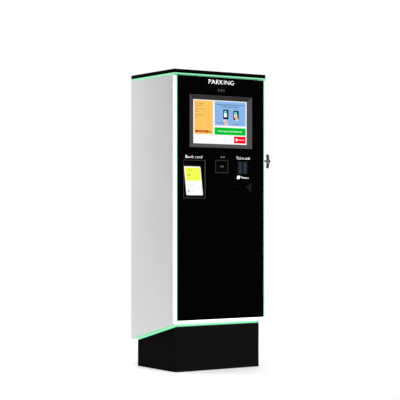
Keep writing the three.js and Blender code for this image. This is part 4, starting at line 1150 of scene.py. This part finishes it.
def cashbox_fittings():
    """A cam lock and a label on the back of the cash box."""
    back = span("cashbox")[1].y - 20
    kit = Kit()
    kit.turned((147, back, 1060), REAR, [(11, -0.3), (11, 2), (10, 3), (8.2, 3.2)], "steel", 24)
    kit.turned((147, back + 3, 1060), REAR, [(7, 0), (7, 1.2), (6.2, 1.6)], "brass", 24)
    # A near-black strip stands for the keyway: painted shade.
    kit.pad(147, 1060, 0.8, 4, back + 4.4, back + 4.8, "deep", 0)
    kit.screws([(x, z) for x in (104, 190) for z in (910, 1088)], back, REAR, 2.8)
    kit.finish("cashbox_fittings", body_of("cashbox"), "zinc_steel")
    sticker("cashbox_label", "cashbox", (180, back, 930), REAR, 66, 34, (
        (0.28, 0.14, "Notes"), (0.6, 0.1, "Cash box")))


def power_supply_front():
    """The perforated cover, screw terminals, lamp and label of the power supply."""
    low, high = span("power_supply")
    front = low.y
    kit = Kit()
    # The perforations are near-black hexagon studs standing for holes: painted shade.
    for row, z in enumerate(spread(640, 704, 9)):
        shift = 2.5 * (row % 2)
        for x in spread(low.x + 8 + shift, high.x - 10 + shift, 16):
            kit.turned((x, front + 0.3, z), FRONT, [(2.1, 0), (2.1, 0.45), (1.8, 0.6)], "deep", 6)
    kit.screws([(x, z) for z in (705, 600) for x in (low.x + 5, high.x - 5)], front, FRONT, 2.4)
    for x in spread(-84, 24, 8):
        kit.pad(x, 587, 5.6, 7, 117, 118.4, "deep", 0.8)
        kit.screw((x, 117.2, 587), FRONT, 3.0, "brass")
    kit.turned((high.x - 14, front + 0.3, 622), FRONT, [(2.2, 0), (2.2, 1), (1.4, 1.8)],
               "signal", 14)
    kit.finish("power_supply_fittings", "cabinet", "bare_aluminium")
    sticker("power_supply_label", "power_supply", (low.x + 12, front, 604), FRONT, 78, 28, (
        (0.22, 0.085, "Power supply"), (0.5, 0.065, "In 230 V, 50 Hz"),
        (0.76, 0.065, "Out 24 V and 12 V")))


def breaker_front():
    """Clamp screws, seams, a marker and a label on the circuit breaker."""
    low, high = span("circuit_breaker")
    middle = (low + high) / 2
    kit = Kit()
    for x in spread(low.x, high.x, 3):
        for z in (low.z + 8, high.z - 8):
            # Near-black discs behind the clamp screws stand for the screw wells: painted shade.
            kit.turned((x, 150.2, z), FRONT, [(4.4, 0), (4.4, 0.5), (3.6, 0.6)], "deep", 16)
            kit.screw((x, 149.8, z), FRONT, 2.4)
    for x in (low.x + 18, high.x - 18):
        for z in (low.z + 11, high.z - 11):
            kit.pad(x, z, 0.4, 10, 149.6, 150.3, "deep", 0)
    # The marker glows with the lit green material, though it is a position flag and no lamp: painted
    # light.
    kit.pad(high.x - 8, middle.z, 4, 5, low.y - 0.3, low.y + 0.2, "signal", 0.2)
    kit.finish("circuit_breaker_fittings", "cabinet", "light_grey_plastic")
    sticker("circuit_breaker_label", "circuit_breaker", (low.x + 2, low.y, middle.z - 10), FRONT,
            15, 20, ((0.3, 0.3, "16 A"), (0.7, 0.26, "230 V")))


def terminal_block_fittings():
    """Seams, clamp screws and number tags along the terminal block."""
    low, high = span("terminal_block")
    tags = {0: "earth", 15: "earth", 4: "blue", 5: "blue"}
    kit = Kit()
    for index, x in enumerate(spread(low.x, high.x, 16)):
        kit.pad(x, 640, 3.2, 6, low.y - 0.5, low.y + 0.2, tags.get(index, "paper"), 0.3)
        kit.screws(((x, 618.5), (x, 661.5)), low.y + 22, FRONT, 2.2)
        kit.pad(x + 4.15, 640, 0.15, 13.5, low.y - 0.2, low.y + 0.2, "deep", 0)
    kit.finish("terminal_block_fittings", "cabinet", "grey_plastic")


def computer_fittings():
    """Sockets under the fanless computer, its cover screws and its two fixing ears."""
    low, high = span("industrial_pc")
    kit = Kit()
    for x, half in ((-130, 12), (-96, 16), (-58, 9), (-34, 9), (-10, 9), (24, 18)):
        kit.block((x - half, 178, low.z - 6), (x + half, 194, low.z + 0.4), "steel", 0.8)
        # A near-black face at each socket's mouth stands for its opening: painted shade.
        kit.block((x - half + 2, 180.5, low.z - 6.4), (x + half - 2, 191.5, low.z - 5), "deep", 0.3)
    kit.screws([(x, z) for x in (low.x + 2.5, low.x + 102.5, high.x - 2.5)
                for z in (low.z + 8, high.z - 8)], low.y, FRONT, 1.6)
    kit.finish("computer_sockets", "cabinet", "black_aluminium")
    for side, x in (("left", low.x - 7), ("right", high.x + 7)):
        ear = Kit()
        ear.pad(x, 950, 7, 70, high.y - 2.5, high.y, "zinc_steel")
        ear.screws(((x, 894), (x, 1006)), high.y - 2.5, FRONT, 3.0)
        ear.finish(f"computer_ear_{side}", "cabinet", "zinc_steel")


def router_fittings():
    """Two aerials, a row of lamps, sockets and a label on the router."""
    low, high = span("network_router")
    kit = Kit()
    for x in (low.x + 18, high.x - 18):
        kit.turned((x, 190, high.z - 1), UP, [
            (4.5, 0), (4.5, 8), (5.4, 9), (5.4, 13), (4, 14), (3.6, 42), (2.8, 46), (1.2, 47)],
            "black_plastic", 20)
    for index, x in enumerate(spread(low.x + 28, high.x - 28, 6)):
        kit.pad(x, high.z - 22.5, 1.8, 1.5, low.y - 0.4, low.y + 0.3,
                "amber" if index == 4 else "signal", 0.3)
    for x in spread(low.x + 16, high.x - 16, 4):
        kit.block((x - 8, 182, low.z - 2), (x + 8, 196, low.z + 0.4), "steel", 0.6)
        # A near-black face at each socket's mouth stands for its opening: painted shade.
        kit.block((x - 6.4, 184, low.z - 2.4), (x + 6.4, 194, low.z - 1), "deep", 0.2)
    kit.finish("router_fittings", "cabinet", "black_plastic")
    sticker("router_label", "network_router", (low.x + 34, low.y, low.z + 26), FRONT, 52, 34, (
        (0.22, 0.13, "Router"), (0.48, 0.09, "12 V, 1 A"), (0.74, 0.09, "Mobile and cable")))


def duct_fittings():
    """Wire slots on the duct's sides and its snap-on cover."""
    low, high = span("cable_duct")
    kit = Kit()
    for z in spread(low.z, high.z, 52):
        for x in (low.x, high.x):
            # Each wire slot is a near-black sheet on the duct's side: painted shade.
            kit.pad(x, z, 0.25, 2.2, low.y + 9, high.y - 14, "deep", 0)
    kit.block((low.x - 1.2, low.y - 1.6, low.z), (high.x + 1.2, low.y + 0.2, high.z),
              "grey_plastic", 0.6)
    for x in (low.x - 1.2, high.x + 0.1):
        kit.block((x, low.y - 1, low.z), (x + 1.1, low.y + 7, high.z), "grey_plastic")
    kit.finish("cable_duct_cover", "cabinet", "light_grey_plastic")


def plate_fittings():
    """Nuts at the component plate's corners, and the earth bar below the rail."""
    low, high = span("component_plate")
    kit = Kit()
    for x, z in corners(low, high, 20):
        kit.nut((x, low.y, z), FRONT, 6.0)
    kit.pad(-20, 446, 80, 6, low.y - 8, low.y - 2, "brass", 0.6)
    for x in (-94, 54):
        kit.pad(x, 446, 5, 6, low.y - 2, low.y, "earth")
    kit.screws([(x, 446) for x in spread(-86, 46, 11)], low.y - 8, FRONT, 3.0)
    kit.screws([(x, 640) for x in spread(-165, 200, 5)], 203, FRONT, 2.4)
    kit.finish("component_plate_fittings", "cabinet", "zinc_steel")
    sticker("earth_label", "component_plate", (66, low.y, 438), FRONT, 26, 16,
            ((0.5, 0.3, "Earth"),))


def fan_fittings():
    """Screws on the fan's corners, and a round label on its hub."""
    low, high = span("fan_housing")
    kit = Kit()
    kit.screws(corners(low, high, 8), low.y, FRONT, 4.0)
    kit.pad(low.x + 27, low.z + 4, 7, 2, low.y - 0.2, low.y + 2, "deep", 0.5)
    kit.finish("fan_screws", "cabinet", "black_plastic")
    front = span("fan_rotor")[0].y
    middle = (low.z + high.z) / 2
    hub = Kit()
    hub.turned((0, front + 0.2, middle), FRONT, [(17, 0), (17, 0.3), (16.6, 0.35)], "paper", 32)
    hub.turned((0, front, middle), FRONT, [(13, 0), (13, 0.3), (12.8, 0.35)], "blue", 32)
    for turn in (0, 2 * math.pi / 3, 4 * math.pi / 3):
        hub.turned((9 * math.cos(turn), front - 0.3, middle + 9 * math.sin(turn)), FRONT,
                   [(1.6, 0), (1.6, 0.15), (1.4, 0.2)], "paper", 12)
    hub.finish("fan_hub_label", "fan_rotor", "black_plastic")


def filter_mats():
    """Filter mats held by wire clips behind the air slots."""
    for side, middle in (("left", -110), ("right", 110)):
        kit = Kit()
        kit.pad(middle, 373, 100, 55, 226, 232.4, "mat", 1.5)
        for z in spread(318, 428, 4):
            kit.pad(middle, z, 102, 1, 224.6, 226.4, "steel", 0.6)
        for x in (middle - 98, middle + 98):
            kit.pad(x, 373, 1, 57, 224.2, 226.2, "steel", 0.6)
        kit.finish(f"filter_mat_{side}", "cabinet", "seal_rubber")


def wire_ring(kit, centre, radius):
    """A ring of wire that lies flat in the plane of the rear wall."""
    wire, segments, around = 0.9, 48, 8
    loops = []
    for step in range(segments):
        turn = 2 * math.pi * step / segments
        loop = []
        for corner in range(around):
            lean = 2 * math.pi * corner / around
            reach = radius + wire * math.cos(lean)
            place = Vector((reach * math.cos(turn), wire * math.sin(lean), reach * math.sin(turn)))
            loop.append(kit.shape.verts.new((Vector(centre) + place) * MM))
        loops.append(loop)
    kit.skin(zip(loops, loops[1:] + loops[:1]), "steel")


def fan_guard():
    """A wire guard in the fan's outlet, flush with the rear wall."""
    low, high = span("fan_housing")
    centre = Vector((0, span("rear_panel")[1].y - 1.1, (low.z + high.z) / 2))
    kit = Kit()
    for radius in (13, 24, 35, 46):
        wire_ring(kit, centre, radius)
    for turn in (math.radians(angle) for angle in (45, 135, 225, 315)):
        spoke = Vector((math.cos(turn), 0, math.sin(turn)))
        kit.turned(centre + spoke * 13 + Vector((0, -0.6, 0)), spoke, [(0.9, 0), (0.9, 42)],
                   "steel", 8)
    kit.finish("fan_guard", "cabinet", "chrome_metal")


def rating_plate():
    """A plain rating plate on the back of the plinth."""
    back = span("plinth_shell")[1].y
    sticker("rating_plate", "plinth_shell", (40, back, 90), REAR, 80, 46, (
        (0.16, 0.085, "Parking pay station"), (0.38, 0.065, "230 V, 50 Hz, 2 A"),
        (0.58, 0.065, "Mass 130 kg"), (0.78, 0.065, "For outdoor use")))


# ---------------------------------------------------------------- build

for build in (
        make_camera, make_studio, make_floor, dress_nodes, display_picture, terminal_picture,
        labels, door_stiffeners, document_pocket, monitor_back, card_recess_back,
        contactless_board, scanner_back, camera_details, validator_fittings, cashbox_fittings,
        power_supply_front, breaker_front, terminal_block_fittings, computer_fittings,
        router_fittings, duct_fittings, plate_fittings, fan_fittings, filter_mats, fan_guard,
        rating_plate):
    build()
